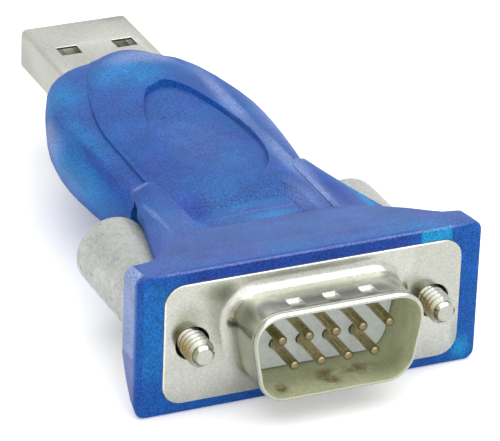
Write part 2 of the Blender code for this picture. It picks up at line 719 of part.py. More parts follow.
def build_cover(stand, surface):
    cover = place("top_cover", cover_blank(), surface, stand)
    for name, mesh in (("cover_plug_opening", usb_opening()), ("cover_cavity", cavity_solid()),
                       ("cover_neck_cavity", neck_cavity()), ("finger_rest", finger_rest()),
                       ("valley", valley_cutter())):
        combine(cover, tool(name, mesh, stand), 'DIFFERENCE')
    return cover


def build_front_shell(stand, surface):
    """Stamped front shell: a plate drawn out into the D around the pins."""
    plate = rectangle(PLATE_WIDTH, PLATE_HEIGHT, PLATE_CORNER)
    rings = [at_depth(plate, PLATE_THICKNESS), at_depth(plate, 0.0)]
    for step in range(FILLET_STEPS + 1):
        angle = math.pi / 2 * step / FILLET_STEPS
        spread = SHELL_ROOT_FILLET * (1 - math.sin(angle))
        rings.append(at_depth(d_outline(spread), -SHELL_ROOT_FILLET * (1 - math.cos(angle))))
    lip = SHELL_WALL / 2
    rings.append(at_depth(d_outline(), SHELL_RIM + lip))
    rings.append(at_depth(d_outline(-SHELL_LIP_TURN * lip), SHELL_RIM + SHELL_LIP_TURN * lip))
    rings.append(at_depth(d_outline(-lip), SHELL_RIM))
    rings.append(at_depth(d_outline(-SHELL_WALL), SHELL_RIM + lip))
    rings.append(at_depth(d_outline(-SHELL_WALL), PLATE_THICKNESS))
    shell = place("serial_front_shell", swept_shell(rings), surface, stand)
    holes = []
    for side in (-1, 1):
        hole = turned([(0.0, -PLATE_THICKNESS), (THREAD_HOLE, -PLATE_THICKNESS),
                       (THREAD_HOLE, 2 * PLATE_THICKNESS), (0.0, 2 * PLATE_THICKNESS)],
                      SCREW_STEPS)
        holes.append(moved(hole, x=side * SCREW_SPACING / 2))
    combine(shell, tool("front_plate_holes", joined(holes), stand), 'DIFFERENCE')
    top = SHELL_HEIGHT / 2
    dimples = []
    for index in (-1, 0, 1):
        x = index * DIMPLE_SPACING
        y = -DIMPLE_SETBACK
        corners = [(across * DIMPLE_WIDTH / 2, along * DIMPLE_LENGTH / 2)
                   for across, along in ((-1, -1), (1, -1), (1, 1), (-1, 1))]
        wide = [(x + across, y + along) for across, along in corners]
        floor = [(x + DIMPLE_FLOOR_SHARE * across, y + DIMPLE_FLOOR_SHARE * along)
                 for across, along in corners]
        dimples.append(loft([in_plan(floor, top - DIMPLE_DEPTH), in_plan(wide, top + DIMPLE_DEPTH)]))
    combine(shell, tool("grounding_dimples", joined(dimples), stand), 'DIFFERENCE')
    return shell


def build_rear_shell(stand, surface):
    """Stamped rear shell: a plate with a short collar around the insulator's back."""
    plate = rectangle(PLATE_WIDTH, PLATE_HEIGHT, PLATE_CORNER)
    collar_back = REAR_PLATE_BACK + REAR_COLLAR_DEPTH
    outer = d_outline(SHELL_WALL + FIT_GAP)
    inner = d_outline(FIT_GAP)
    rings = [at_depth(plate, REAR_PLATE_FRONT), at_depth(plate, REAR_PLATE_BACK),
             at_depth(outer, REAR_PLATE_BACK), at_depth(outer, collar_back),
             at_depth(inner, collar_back), at_depth(inner, REAR_PLATE_FRONT)]
    shell = place("serial_rear_shell", swept_shell(rings), surface, stand)
    holes = []
    for side in (-1, 1):
        hole = turned([(0.0, 0.0), (THREAD_HOLE, 0.0), (THREAD_HOLE, FLANGE_RECESS),
                       (0.0, FLANGE_RECESS)], SCREW_STEPS)
        holes.append(moved(hole, x=side * SCREW_SPACING / 2))
    combine(shell, tool("rear_plate_holes", joined(holes), stand), 'DIFFERENCE')
    return shell


def pin_places():
    """Middle of each pin, top row first."""
    places = []
    for count, row in ((PINS_IN_TOP_ROW, 1), (PINS_IN_BOTTOM_ROW, -1)):
        for index in range(count):
            places.append(((index - (count - 1) / 2) * PIN_PITCH, row * PIN_ROW_SPACING / 2))
    return places


def build_serial_insulator(stand, surface):
    face = d_outline(-SHELL_WALL - FIT_GAP)
    back = rectangle(INSULATOR_BACK_WIDTH, INSULATOR_BACK_HEIGHT, BOARD_CORNER)
    step = REAR_PLATE_BACK + REAR_COLLAR_DEPTH
    rings = [at_depth(face, -INSULATOR_RECESS), at_depth(face, step), at_depth(back, step),
             at_depth(back, INSULATOR_BACK)]
    insulator = place("serial_insulator", loft(rings), surface, stand)
    bores = []
    radius = PIN_RADIUS + FIT_GAP
    front = -2 * INSULATOR_RECESS
    end = INSULATOR_BACK + WALL
    for x, z in pin_places():
        bore = turned([(0.0, front), (radius, front), (radius, end), (0.0, end)], PIN_STEPS)
        bores.append(moved(bore, x=x, z=z))
    combine(insulator, tool("pin_bores", joined(bores), stand), 'DIFFERENCE')
    return insulator


def build_pins(stand, surface):
    tip = SHELL_RIM + PIN_TIP_SETBACK
    cup = SOLDER_CUP_START + FIT_GAP
    cup_end = cup + SOLDER_CUP_LENGTH
    cup_floor = cup + SOLDER_CUP_FLOOR * SOLDER_CUP_LENGTH
    bore = SOLDER_CUP_BORE * SOLDER_CUP_RADIUS
    profile = [(0.0, tip), (PIN_TIP_FLAT * PIN_RADIUS, tip),
               (PIN_TIP_SHOULDER * PIN_RADIUS, tip + PIN_RADIUS / 2),
               (PIN_RADIUS, tip + PIN_RADIUS), (PIN_RADIUS, cup), (SOLDER_CUP_RADIUS, cup),
               (SOLDER_CUP_RADIUS, cup_end), (bore, cup_end), (bore, cup_floor), (0.0, cup_floor)]
    for number, (x, z) in enumerate(pin_places(), 1):
        pin = moved(turned(profile, PIN_STEPS), x=x, z=z)
        place(f"serial_pin_{number}", pin, surface, stand)


def build_thumbscrews(stand, knob_surface, screw_surface):
    for name, side in (("left", -1), ("right", 1)):
        axis = (side * SCREW_SPACING / 2, 0.0, 0.0)
        bore = THREAD_RADIUS + FIT_GAP
        bore_end = SCREW_END_IN_KNOB + FIT_GAP
        profile = [(bore, KNOB_FRONT), (KNOB_RADIUS - KNOB_EDGE / 2, KNOB_FRONT),
                   (KNOB_RADIUS, KNOB_FRONT + KNOB_EDGE / 2)]
        for step in range(KNOB_EDGE_STEPS + 1):
            angle = math.pi / 2 * step / KNOB_EDGE_STEPS
            profile.append((KNOB_RADIUS - KNOB_EDGE * (1 - math.cos(angle)),
                            KNOB_BACK - KNOB_EDGE * (1 - math.sin(angle))))
        profile += [(0.0, KNOB_BACK)]
        knob = [(0.0, bore_end), (bore, bore_end)] + profile
        place(f"thumbscrew_knob_{name}", turned(knob, KNOB_STEPS), knob_surface, stand, axis)
        tip = -THREAD_REACH
        screw = [(0.0, tip), (THREAD_RADIUS - THREAD_POINT, tip),
                 (THREAD_RADIUS, tip + THREAD_POINT), (THREAD_RADIUS, SCREW_END_IN_KNOB),
                 (0.0, SCREW_END_IN_KNOB)]
        place(f"thumbscrew_screw_{name}", turned(screw, SCREW_STEPS), screw_surface, stand, axis)


def build_usb_shell(stand, surface):
    """Plug shell folded from sheet: a rounded box section with its seam along the bottom."""
    middle = (0.0, USB_BOTTOM + USB_HEIGHT / 2)
    outer = rectangle(USB_WIDTH, USB_HEIGHT, USB_CORNER, middle, USB_CORNER_STEPS)
    inner = rectangle(USB_WIDTH - 2 * USB_WALL, USB_HEIGHT - 2 * USB_WALL, USB_CORNER - USB_WALL,
                      middle, USB_CORNER_STEPS)
    last_corner = 3 * (USB_CORNER_STEPS + 1)
    walls = []
    for outline, level in ((outer, USB_BOTTOM), (inner, USB_FLOOR)):
        turned_round = outline[last_corner:] + outline[:last_corner]
        walls.append([(USB_SEAM / 2, level)] + turned_round + [(-USB_SEAM / 2, level)])
    section = walls[0] + list(reversed(walls[1]))
    tube = loft([at_depth(section, USB_SHELL_BACK), at_depth(section, USB_TIP)])
    shell = place("usb_plug_shell", tube, surface, stand)
    windows = []
    y = USB_TIP - USB_HOLE_FROM_TIP
    for side in (-1, 1):
        x = side * USB_HOLE_SPACING / 2
        for low, high in ((USB_BOTTOM - USB_WALL, USB_FLOOR + USB_WALL / 2),
                          (USB_TOP - 3 * USB_WALL / 2, USB_TOP + USB_WALL)):
            windows.append(block((x - USB_HOLE_WIDTH / 2, y - USB_HOLE_LENGTH / 2, low),
                                 (x + USB_HOLE_WIDTH / 2, y + USB_HOLE_LENGTH / 2, high)))
    combine(shell, tool("latch_windows", joined(windows), stand), 'DIFFERENCE')
    return shell


def build_usb_insulator(stand, surface):
    """Moulded tongue with a full height block behind it and a groove for each contact."""
    half = USB_WIDTH / 2 - USB_WALL - FIT_GAP
    roof = USB_TOP - USB_WALL - FIT_GAP
    block_front = USB_SHELL_BACK + TONGUE_BLOCK_LENGTH
    back = USB_SHELL_BACK + FIT_GAP
    tip = USB_TIP - TONGUE_SETBACK
    side_view = [(back, TONGUE_BOTTOM), (tip, TONGUE_BOTTOM), (tip, TONGUE_TOP),
                 (block_front, TONGUE_TOP), (block_front, roof), (back, roof)]
    tongue = loft([[Vector((x, y, z)) for y, z in side_view] for x in (-half, half)])
    insulator = place("usb_insulator", tongue, surface, stand)
    grooves = []
    for x in CONTACT_SPACINGS:
        side = CONTACT_WIDTH / 2 + FIT_GAP
        grooves.append(block((x - side, USB_SHELL_BACK - FIT_GAP, CONTACT_BOTTOM - FIT_GAP),
                             (x + side, tip + FIT_GAP, CONTACT_TOP + FIT_GAP)))
    combine(insulator, tool("contact_grooves", joined(grooves), stand), 'DIFFERENCE')
    return insulator


def build_contacts(stand, surface):
    """Four strips in the tongue's grooves, each stepped down behind to a foot on the board."""
    outer = max(CONTACT_SPACINGS)
    thick = CONTACT_THICKNESS
    for number, x in enumerate(CONTACT_SPACINGS, 1):
        setback = POWER_CONTACT_SETBACK if abs(x) == outer else DATA_CONTACT_SETBACK
        tip = USB_TIP - TONGUE_SETBACK - setback
        leg = BOARD_BACK - CONTACT_LEG_SETBACK
        foot = leg - CONTACT_TAIL
        side_view = [(tip, CONTACT_BOTTOM), (tip, CONTACT_TOP), (leg, CONTACT_TOP),
                     (leg - thick, CONTACT_TOP - thick), (leg - thick, PART_SEAT + thick),
                     (foot, PART_SEAT + thick), (foot, PART_SEAT), (leg, PART_SEAT),
                     (leg, CONTACT_BOTTOM)]
        strip = loft([[Vector((x + across, y, z)) for y, z in side_view]
                      for across in (-CONTACT_WIDTH / 2, CONTACT_WIDTH / 2)])
        place(f"usb_contact_{number}", strip, surface, stand)


def build_board(stand, surface):
    middle = (BOARD_FRONT + BOARD_BACK) / 2
    outline = rectangle(BOARD_WIDTH, BOARD_BACK - BOARD_FRONT, BOARD_CORNER, (0.0, middle))
    board = loft([in_plan(outline, -BOARD_TOP), in_plan(outline, BOARD_TOP)])
    return place("circuit_board", board, surface, stand)


def chip(name, size, y, stand, surface):
    """Moulded chip lying across the board with a row of bent leads along each long side."""
    length, width, height = size
    lead_width, lead_reach, lead_thick = LEAD_SIZE
    seat = PART_SEAT
    low = seat + lead_thick
    taper = CHIP_TAPER
    waist = low + (height - lead_thick) / 2
    rings = []
    for level, shrink in ((low, taper), (waist, 0.0), (seat + height, taper)):
        rings.append(in_plan([(-length / 2 + shrink, y - width / 2 + shrink),
                              (length / 2 - shrink, y - width / 2 + shrink),
                              (length / 2 - shrink, y + width / 2 - shrink),
                              (-length / 2 + shrink, y + width / 2 - shrink)], level))
    package = place(name, loft(rings), surface, stand)
    leads = []
    for side in (-1, 1):
        root = y + side * (width / 2 - taper)
        knee = y + side * (width / 2 + lead_reach / 2)
        toe = y + side * (width / 2 + lead_reach)
        side_view = [(root, waist + lead_thick / 2), (root, waist - lead_thick / 2),
                     (knee - side * lead_thick, waist - lead_thick / 2),
                     (knee - side * lead_thick, seat), (toe, seat), (toe, seat + lead_thick),
                     (knee, seat + lead_thick), (knee, waist + lead_thick / 2)]
        for index in range(LEADS_PER_SIDE):
            x = (index - (LEADS_PER_SIDE - 1) / 2) * LEAD_PITCH
            leads.append(loft([[Vector((x + across, b, c)) for b, c in side_view]
                               for across in (-lead_width / 2, lead_width / 2)]))
    combine(package, tool(name + "_leads", joined(leads), stand), 'UNION')
    return package


def small_parts(name, size, places, stand, surface):
    """Like chip parts soldered to either face of the board."""
    across, along, height = size
    for number, (x, y, side) in enumerate(places, 1):
        low, high = sorted((side * PART_SEAT, side * (PART_SEAT + height)))
        part = block((x - across / 2, y - along / 2, low), (x + across / 2, y + along / 2, high))
        bmesh.ops.bevel(part, geom=part.edges[:], offset=SMALL_PART_BEVEL * height, segments=1,
                        affect='EDGES', profile=0.5, material=-1)
        place(f"{name}_{number}", part, surface, stand)


def build_crystal(stand, surface):
    """Low metal can with round ends, lying across the board."""
    length, width, height = CRYSTAL_SIZE
    rounding = CRYSTAL_ROUNDING * width
    outline = rectangle(length, width, rounding, (0.0, CRYSTAL_PLACE))
    foot = rectangle(length + 2 * CRYSTAL_BRIM, width + 2 * CRYSTAL_BRIM, rounding,
                     (0.0, CRYSTAL_PLACE))
    brim = PART_SEAT + CRYSTAL_BRIM_HEIGHT
    rings = [in_plan(foot, PART_SEAT), in_plan(foot, brim), in_plan(outline, brim),
             in_plan(outline, PART_SEAT + height)]
    return place("crystal", loft(rings), surface, stand)


def build():
    for item in list(bpy.data.objects):
        bpy.data.objects.remove(item, do_unlink=True)
    stand = bpy.data.objects.new("ground_shift", None)
    bpy.context.collection.objects.link(stand)
    stand.location = GROUND_SHIFT

    blue = material("translucent_blue", (0.05, 0.18, 0.62), 0.35, transmission=0.4)
    nickel = material("nickel_plate", (0.62, 0.61, 0.56), 0.32, metallic=1.0)
    gold = material("gold_plate", (0.72, 0.55, 0.24), 0.25, metallic=1.0)
    pale = material("pale_plastic", (0.78, 0.79, 0.76), 0.5)
    clear = material("frosted_clear", (0.62, 0.66, 0.60), 0.45, transmission=0.3)
    board_green = material("board_green", (0.03, 0.20, 0.10), 0.45)
    black = material("chip_black", (0.02, 0.02, 0.022), 0.5)
    tan = material("ceramic_tan", (0.55, 0.42, 0.28), 0.5)

    build_housing(stand, blue)
    build_cover(stand, blue.copy())
    build_usb_shell(stand, nickel)
    build_usb_insulator(stand, pale)
    build_contacts(stand, gold)
    build_board(stand, board_green)
    chip("usb_interface_chip", USB_CHIP_SIZE, USB_CHIP_PLACE, stand, black)
    chip("line_driver_chip", DRIVER_CHIP_SIZE, DRIVER_CHIP_PLACE, stand, black)
    build_crystal(stand, nickel)
    spread = 2 * LEAD_PITCH
    row = [(step * spread, DRIVER_CHIP_PLACE, -1) for step in (-1.5, -0.5, 0.5, 1.5)]
    small_parts("capacitor", CAPACITOR_SIZE, row, stand, tan)
    row = [(step * spread, USB_CHIP_PLACE, -1) for step in (-0.5, 0.5)]
    small_parts("resistor", RESISTOR_SIZE, row, stand, black)
    build_front_shell(stand, nickel)
    build_rear_shell(stand, nickel)
    build_serial_insulator(stand, pale)
    build_pins(stand, gold)
    build_thumbscrews(stand, clear, nickel)


build()
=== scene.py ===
"""Looks of a USB to serial adapter: translucent blue housing, plated plugs, gold pins and
frosted thumbscrews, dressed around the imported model."""
import json
import math

import bmesh
import bpy
from bpy.props import FloatProperty, FloatVectorProperty, IntProperty, PointerProperty
from bpy.types import Operator, Panel, PropertyGroup
from mathutils import Matrix, Vector


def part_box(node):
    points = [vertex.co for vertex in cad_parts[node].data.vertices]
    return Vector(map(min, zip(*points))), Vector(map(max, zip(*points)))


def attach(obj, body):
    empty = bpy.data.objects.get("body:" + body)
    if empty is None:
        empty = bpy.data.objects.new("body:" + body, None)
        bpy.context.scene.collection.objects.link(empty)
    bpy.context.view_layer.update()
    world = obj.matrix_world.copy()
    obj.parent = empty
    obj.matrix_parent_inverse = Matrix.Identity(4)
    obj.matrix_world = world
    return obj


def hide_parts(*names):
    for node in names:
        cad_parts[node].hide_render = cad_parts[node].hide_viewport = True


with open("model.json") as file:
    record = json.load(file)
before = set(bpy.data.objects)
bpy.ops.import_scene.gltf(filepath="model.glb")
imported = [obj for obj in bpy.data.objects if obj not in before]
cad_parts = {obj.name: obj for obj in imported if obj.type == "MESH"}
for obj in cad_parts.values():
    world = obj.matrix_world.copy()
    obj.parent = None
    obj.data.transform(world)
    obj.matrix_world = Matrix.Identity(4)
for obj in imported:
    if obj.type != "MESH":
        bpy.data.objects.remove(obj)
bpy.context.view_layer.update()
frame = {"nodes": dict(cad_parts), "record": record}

bl_info = {
    "name": "USB to serial adapter",
    "version": (1, 0, 0),
    "blender": (4, 5, 0),
    "location": "View3D > Sidebar > Adapter",
    "description": "Dresses the packed adapter with its housing, plugs, pins and thumbscrews",
    "category": "Object",
}

MM = 0.001

# Middle of the serial connector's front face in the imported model's frame
CONNECTOR_FACE = Vector((0.0, -27.65 * MM, 7.4 * MM))

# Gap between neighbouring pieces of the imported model
FIT_GAP = 0.3 * MM

# The cover's edges are rounded by this share of the housing's
COVER_EDGE_SHARE = 0.6

# What all length and all colour settings share
LENGTH = {"precision": 5, "subtype": 'DISTANCE', "unit": 'LENGTH'}
COLOUR = {"size": 3, "subtype": 'COLOR', "min": 0.0, "max": 1.0}


# Settings

class HousingSettings(PropertyGroup):
    """Shape and colour of the two blue mouldings"""

    edge_radius: FloatProperty(
        name="Edge radius", description="Rounding along the moulded edges", default=0.12 * MM,
        min=0.0, max=0.5 * MM, **LENGTH)
    corner_radius: FloatProperty(
        name="Corner radius", description="Rounding of the flange's upright front corners",
        default=0.8 * MM, min=0.0, max=2 * MM, **LENGTH)
    left_reach: FloatProperty(
        name="Left reach", description="How much farther out the flange's left end stands",
        default=0.65 * MM, min=0.0, max=2 * MM, **LENGTH)
    right_reach: FloatProperty(
        name="Right reach", description="How much farther out the flange's right end stands",
        default=0.2 * MM, min=0.0, max=2 * MM, **LENGTH)
    end_cut: FloatProperty(
        name="End cut", description="Depth taken off the flange's ends at the back",
        default=0.8 * MM, min=0.0, max=2 * MM, **LENGTH)
    smooth_angle: FloatProperty(
        name="Smooth angle", description="Faces that meet at less than this shade as one surface",
        default=math.radians(20.0), subtype='ANGLE', unit='ROTATION')
    seam_left: FloatProperty(
        name="Seam left", description="Groove left between the cover and the housing",
        default=0.02 * MM, min=0.0, max=0.3 * MM, **LENGTH)
    # Painted light: the front, cover, deep and face colours are lit and shaded copies of one blue,
    # chosen by the way a face looks; the lilac of the tops is painted sheen
    front_colour: FloatVectorProperty(
        name="Front colour", description="Frosted lilac blue of the flange's and the fins' tops",
        default=(0.055, 0.108, 0.350), **COLOUR)
    cover_colour: FloatVectorProperty(
        name="Cover colour", description="Frosted blue of the cover's and the body's tops",
        default=(0.022, 0.084, 0.325), **COLOUR)
    deep_colour: FloatVectorProperty(
        name="Deep colour", description="Colour of steps and of faces that look down",
        default=(0.014, 0.104, 0.450), **COLOUR)
    face_colour: FloatVectorProperty(
        name="Face colour", description="Clearer blue of the flange's front face",
        default=(0.008, 0.100, 0.420), **COLOUR)
    # Painted shade: this darker blue is laid into grooves, slits and valleys and along the top of
    # the front face
    shade_colour: FloatVectorProperty(
        name="Shade colour", description="Darker blue where the wall is thick",
        default=(0.014, 0.044, 0.300), **COLOUR)
    glow_colour: FloatVectorProperty(
        name="Glow colour", description="Cyan of the places where light comes through the wall",
        default=(0.012, 0.300, 0.640), **COLOUR)
    # Painted highlight: this pale lilac is laid along edges, crests and the seam, and over the
    # flange's lit ends
    sheen_colour: FloatVectorProperty(
        name="Haze colour", description="Pale lilac of worn edges and of the flange's ends",
        default=(0.310, 0.395, 0.680), **COLOUR)
    teal_colour: FloatVectorProperty(
        name="Teal colour", description="Greener of the two tones that drift over the wall",
        default=(0.024, 0.210, 0.440), **COLOUR)
    violet_colour: FloatVectorProperty(
        name="Violet colour", description="Redder of the two tones that drift over the wall",
        default=(0.090, 0.085, 0.330), **COLOUR)
    mirrored_colour: FloatVectorProperty(
        name="Mirrored colour", description="Tone that the plating picks up from the housing",
        default=(0.20, 0.21, 0.18), **COLOUR)
    grain: FloatProperty(
        name="Grain", description="Strength of the fine moulded speckle",
        default=0.55, min=0.0, max=1.0, subtype='FACTOR')


class MetalSettings(PropertyGroup):
    """Plated shells and screws"""

    nickel_colour: FloatVectorProperty(
        name="Nickel colour", description="Colour of the satin nickel plating",
        default=(0.55, 0.555, 0.505), **COLOUR)
    # Painted reflection and shade: the olive stands for the darker surroundings that the plating
    # mirrors, inside the D and on faces that look left
    olive_colour: FloatVectorProperty(
        name="Olive colour", description="Tint of the plating inside and beside the D shell",
        default=(0.27, 0.29, 0.17), **COLOUR)
    brown_colour: FloatVectorProperty(
        name="Brown colour", description="Tone of the D shell where it mirrors the pins",
        default=(0.23, 0.17, 0.06), **COLOUR)
    dark_colour: FloatVectorProperty(
        name="Dark colour", description="Tone of the D shell where it mirrors dark things",
        default=(0.14, 0.155, 0.125), **COLOUR)
    teal_colour: FloatVectorProperty(
        name="Teal colour", description="Tone of the plate where it mirrors the housing",
        default=(0.26, 0.36, 0.33), **COLOUR)
    # Painted highlight: this pale tone is laid on the plate's edges, on its lower left and on the
    # dents' rear lines
    highlight_colour: FloatVectorProperty(
        name="Light colour", description="Tone of polished edges and dents",
        default=(0.95, 0.95, 0.92), **COLOUR)
    # Painted reflection: the D's inner walls and its lower left side take this olive in place of
    # what they mirror
    olive_reflection_colour: FloatVectorProperty(
        name="Lining colour", description="Tint of the plating on the D shell's inner walls",
        default=(0.56, 0.59, 0.38), **COLOUR)
    nickel_roughness: FloatProperty(
        name="Nickel roughness", description="How satin the plating is",
        default=0.30, min=0.0, max=1.0, subtype='FACTOR')
    rim_radius: FloatProperty(
        name="Rim radius", description="Rounding along the stamped edges", default=0.07 * MM,
        min=0.0, max=0.3 * MM, **LENGTH)
    gold_colour: FloatVectorProperty(
        name="Gold colour", description="Colour of the plating on the pins",
        default=(0.60, 0.50, 0.27), **COLOUR)
    pin_segments: IntProperty(
        name="Pin segments", description="Faces round each pin", default=28, min=8, max=64)
    block_gap_left: FloatProperty(
        name="Block gap left",
        description="Gap left between the pale block, its pins and the shell", default=0.1 * MM,
        min=0.0, max=0.3 * MM, **LENGTH)


class SerialShellSettings(PropertyGroup):
    """Stamped front shell of the serial plug"""

    width: FloatProperty(
        name="Width", description="Width of the D at half its height", default=18.4 * MM,
        min=5 * MM, max=60 * MM, **LENGTH)
    height: FloatProperty(
        name="Height", description="Height of the D", default=9.1 * MM, min=4 * MM, max=30 * MM,
        **LENGTH)
    corner: FloatProperty(
        name="Corner", description="Corner radius of the D", default=2.9 * MM, min=0.1 * MM,
        max=4 * MM, **LENGTH)
    side_angle: FloatProperty(
        name="Side angle", description="Lean of the D's sides", default=math.radians(10.0),
        subtype='ANGLE', unit='ROTATION')
    depth: FloatProperty(
        name="Depth", description="How far the D stands out of the plate", default=6.0 * MM,
        min=1 * MM, max=20 * MM, **LENGTH)
    wall: FloatProperty(
        name="Wall", description="Thickness of the drawn wall", default=0.45 * MM, min=0.1 * MM,
        max=2 * MM, **LENGTH)
    root: FloatProperty(
        name="Root radius", description="Fillet between the plate and the D", default=1.15 * MM,
        min=0.1 * MM, max=2 * MM, **LENGTH)
    flare: FloatProperty(
        name="Flare", description="How far the D's mouth spreads", default=0.18 * MM, min=0.0,
        max=1 * MM, **LENGTH)
    lip_height: FloatProperty(
        name="Lip height", description="Height of the rounding on the lip's outside",
        default=0.6 * MM, min=0.1 * MM, max=2 * MM, **LENGTH)
    plate_width: FloatProperty(
        name="Plate width", description="Width of the plate", default=30.8 * MM, min=10 * MM,
        max=80 * MM, **LENGTH)
    plate_height: FloatProperty(
        name="Plate height", description="Height of the plate", default=12.5 * MM, min=5 * MM,
        max=40 * MM, **LENGTH)
    plate_corner: FloatProperty(
        name="Plate corner", description="Corner radius of the plate", default=2.0 * MM,
        min=0.1 * MM, max=5 * MM, **LENGTH)
    plate_thickness: FloatProperty(
        name="Plate thickness", description="Thickness of the plate", default=0.6 * MM,
        min=0.1 * MM, max=3 * MM, **LENGTH)
    plate_proud: FloatProperty(
        name="Plate proud", description="How far the plate stands out of the flange",
        default=0.18 * MM, min=0.0, max=1 * MM, **LENGTH)
    hole_radius: FloatProperty(
        name="Hole radius", description="Radius of the plate's screw holes", default=1.75 * MM,
        min=0.2 * MM, max=5 * MM, **LENGTH)
    screw_spacing: FloatProperty(
        name="Screw spacing", description="Distance between the two screws", default=25.0 * MM,
        min=5 * MM, max=60 * MM, **LENGTH)
    dimple_spacing: FloatProperty(
        name="Dimple spacing", description="Distance from one dimple to the next",
        default=3.72 * MM, min=1 * MM, max=8 * MM, **LENGTH)
    dimple_width: FloatProperty(
        name="Dimple width", description="Width of each dimple", default=1.6 * MM, min=0.2 * MM,
        max=3 * MM, **LENGTH)
    dimple_rear: FloatProperty(
        name="Dimple rear", description="Distance from the plate to a dimple's deep end",
        default=2.85 * MM, min=0.5 * MM, max=6 * MM, **LENGTH)
    dimple_length: FloatProperty(
        name="Dimple length", description="Length of each dimple", default=1.7 * MM, min=0.2 * MM,
        max=4 * MM, **LENGTH)
    dimple_depth: FloatProperty(
        name="Dimple depth", description="Depth of a dimple's deep end", default=0.24 * MM,
        min=0.0, max=1 * MM, **LENGTH)
    corner_segments: IntProperty(
        name="Corner segments", description="Faces round each corner", default=14, min=3, max=48)
    fold_segments: IntProperty(
        name="Fold segments", description="Faces across the root fillet and the lip",
        default=8, min=2, max=32)


class ThumbscrewSettings(PropertyGroup):
    """Knobs and threaded screws"""

    thread_pitch: FloatProperty(
        name="Thread pitch", description="Distance from one turn of the thread to the next",
        default=0.635 * MM, min=0.2 * MM, max=2 * MM, **LENGTH)
    thread_depth: FloatProperty(
        name="Thread depth", description="Height of the thread above its core", default=0.36 * MM,
        min=0.05 * MM, max=0.6 * MM, **LENGTH)
    turns: IntProperty(
        name="Turns", description="Turns of thread that stand out of the plate",
        default=7, min=1, max=20)
    knob_colour: FloatVectorProperty(
        name="Knob colour", description="Colour of the frosted clear knobs",
        default=(0.88, 0.91, 0.86), **COLOUR)
    knob_segments: IntProperty(
        name="Knob segments", description="Faces round each knob", default=72, min=16, max=160)


class StageSettings(PropertyGroup):
    """Camera, floor and lamps"""

    key_power: FloatProperty(
        name="Key power", description="Power of the large lamp overhead",
        default=6.3, min=0.0, max=80.0, unit='POWER')
    fill_power: FloatProperty(
        name="Fill power", description="Power of the lamp beside the camera",
        default=1.3, min=0.0, max=50.0, unit='POWER')
    ambient: FloatProperty(
        name="Ambient", description="Strength of the white surroundings as a light",
        default=0.30, min=0.0, max=2.0)
    floor_colour: FloatVectorProperty(
        name="Floor colour", description="Colour of the pale floor", default=(0.95, 0.95, 0.95),
        **COLOUR)
    floor_lift: FloatProperty(
        name="Floor lift", description="White added to the floor for the camera alone",
        default=0.28, min=0.0, max=1.0, subtype='FACTOR')


# Shader nodes

def put(tree, kind, values=None, **options):
    """Add a shader node with its options and plain input values."""
    node = tree.nodes.new(kind)
    for name, value in options.items():
        setattr(node, name, value)
    for name, value in (values or {}).items():
        node.inputs[name].default_value = value
    return node


def new_group(name, inputs, outputs):
    """Empty node group with named sockets; returns the tree and its two ends."""
    tree = bpy.data.node_groups.new(name, 'ShaderNodeTree')
    for label, kind, default in inputs:
        socket = tree.interface.new_socket(name=label, in_out='INPUT', socket_type=kind)
        socket.default_value = default
    for label, kind in outputs:
        tree.interface.new_socket(name=label, in_out='OUTPUT', socket_type=kind)
    return tree, tree.nodes.new('NodeGroupInput'), tree.nodes.new('NodeGroupOutput')


def speckle_group():
    """Fine moulded or blasted grain: a mask round one half and a height for a bump."""
    name = "fine speckle"
    if name in bpy.data.node_groups:
        return bpy.data.node_groups[name]
    tree, start, end = new_group(
        name,
        [("Scale", 'NodeSocketFloat', 2600.0), ("Clouds", 'NodeSocketFloat', 240.0)],
        [("Mask", 'NodeSocketFloat'), ("Height", 'NodeSocketFloat'), ("Cloud", 'NodeSocketFloat')])
    place = put(tree, 'ShaderNodeTexCoord')
    fine = put(tree, 'ShaderNodeTexNoise', {"Detail": 2.0, "Roughness": 0.6})
    broad = put(tree, 'ShaderNodeTexNoise', {"Detail": 3.0, "Roughness": 0.55})
    for noise, size in ((fine, "Scale"), (broad, "Clouds")):
        tree.links.new(place.outputs["Object"], noise.inputs["Vector"])
        tree.links.new(start.outputs[size], noise.inputs["Scale"])
    spread = put(tree, 'ShaderNodeMapRange', {"From Min": 0.3, "From Max": 0.7})
    cloud = put(tree, 'ShaderNodeMapRange', {"From Min": 0.32, "From Max": 0.68})
    tree.links.new(fine.outputs["Fac"], spread.inputs["Value"])
    tree.links.new(broad.outputs["Fac"], cloud.inputs["Value"])
    tree.links.new(spread.outputs["Result"], end.inputs["Mask"])
    tree.links.new(fine.outputs["Fac"], end.inputs["Height"])
    tree.links.new(cloud.outputs["Result"], end.inputs["Cloud"])
    return tree


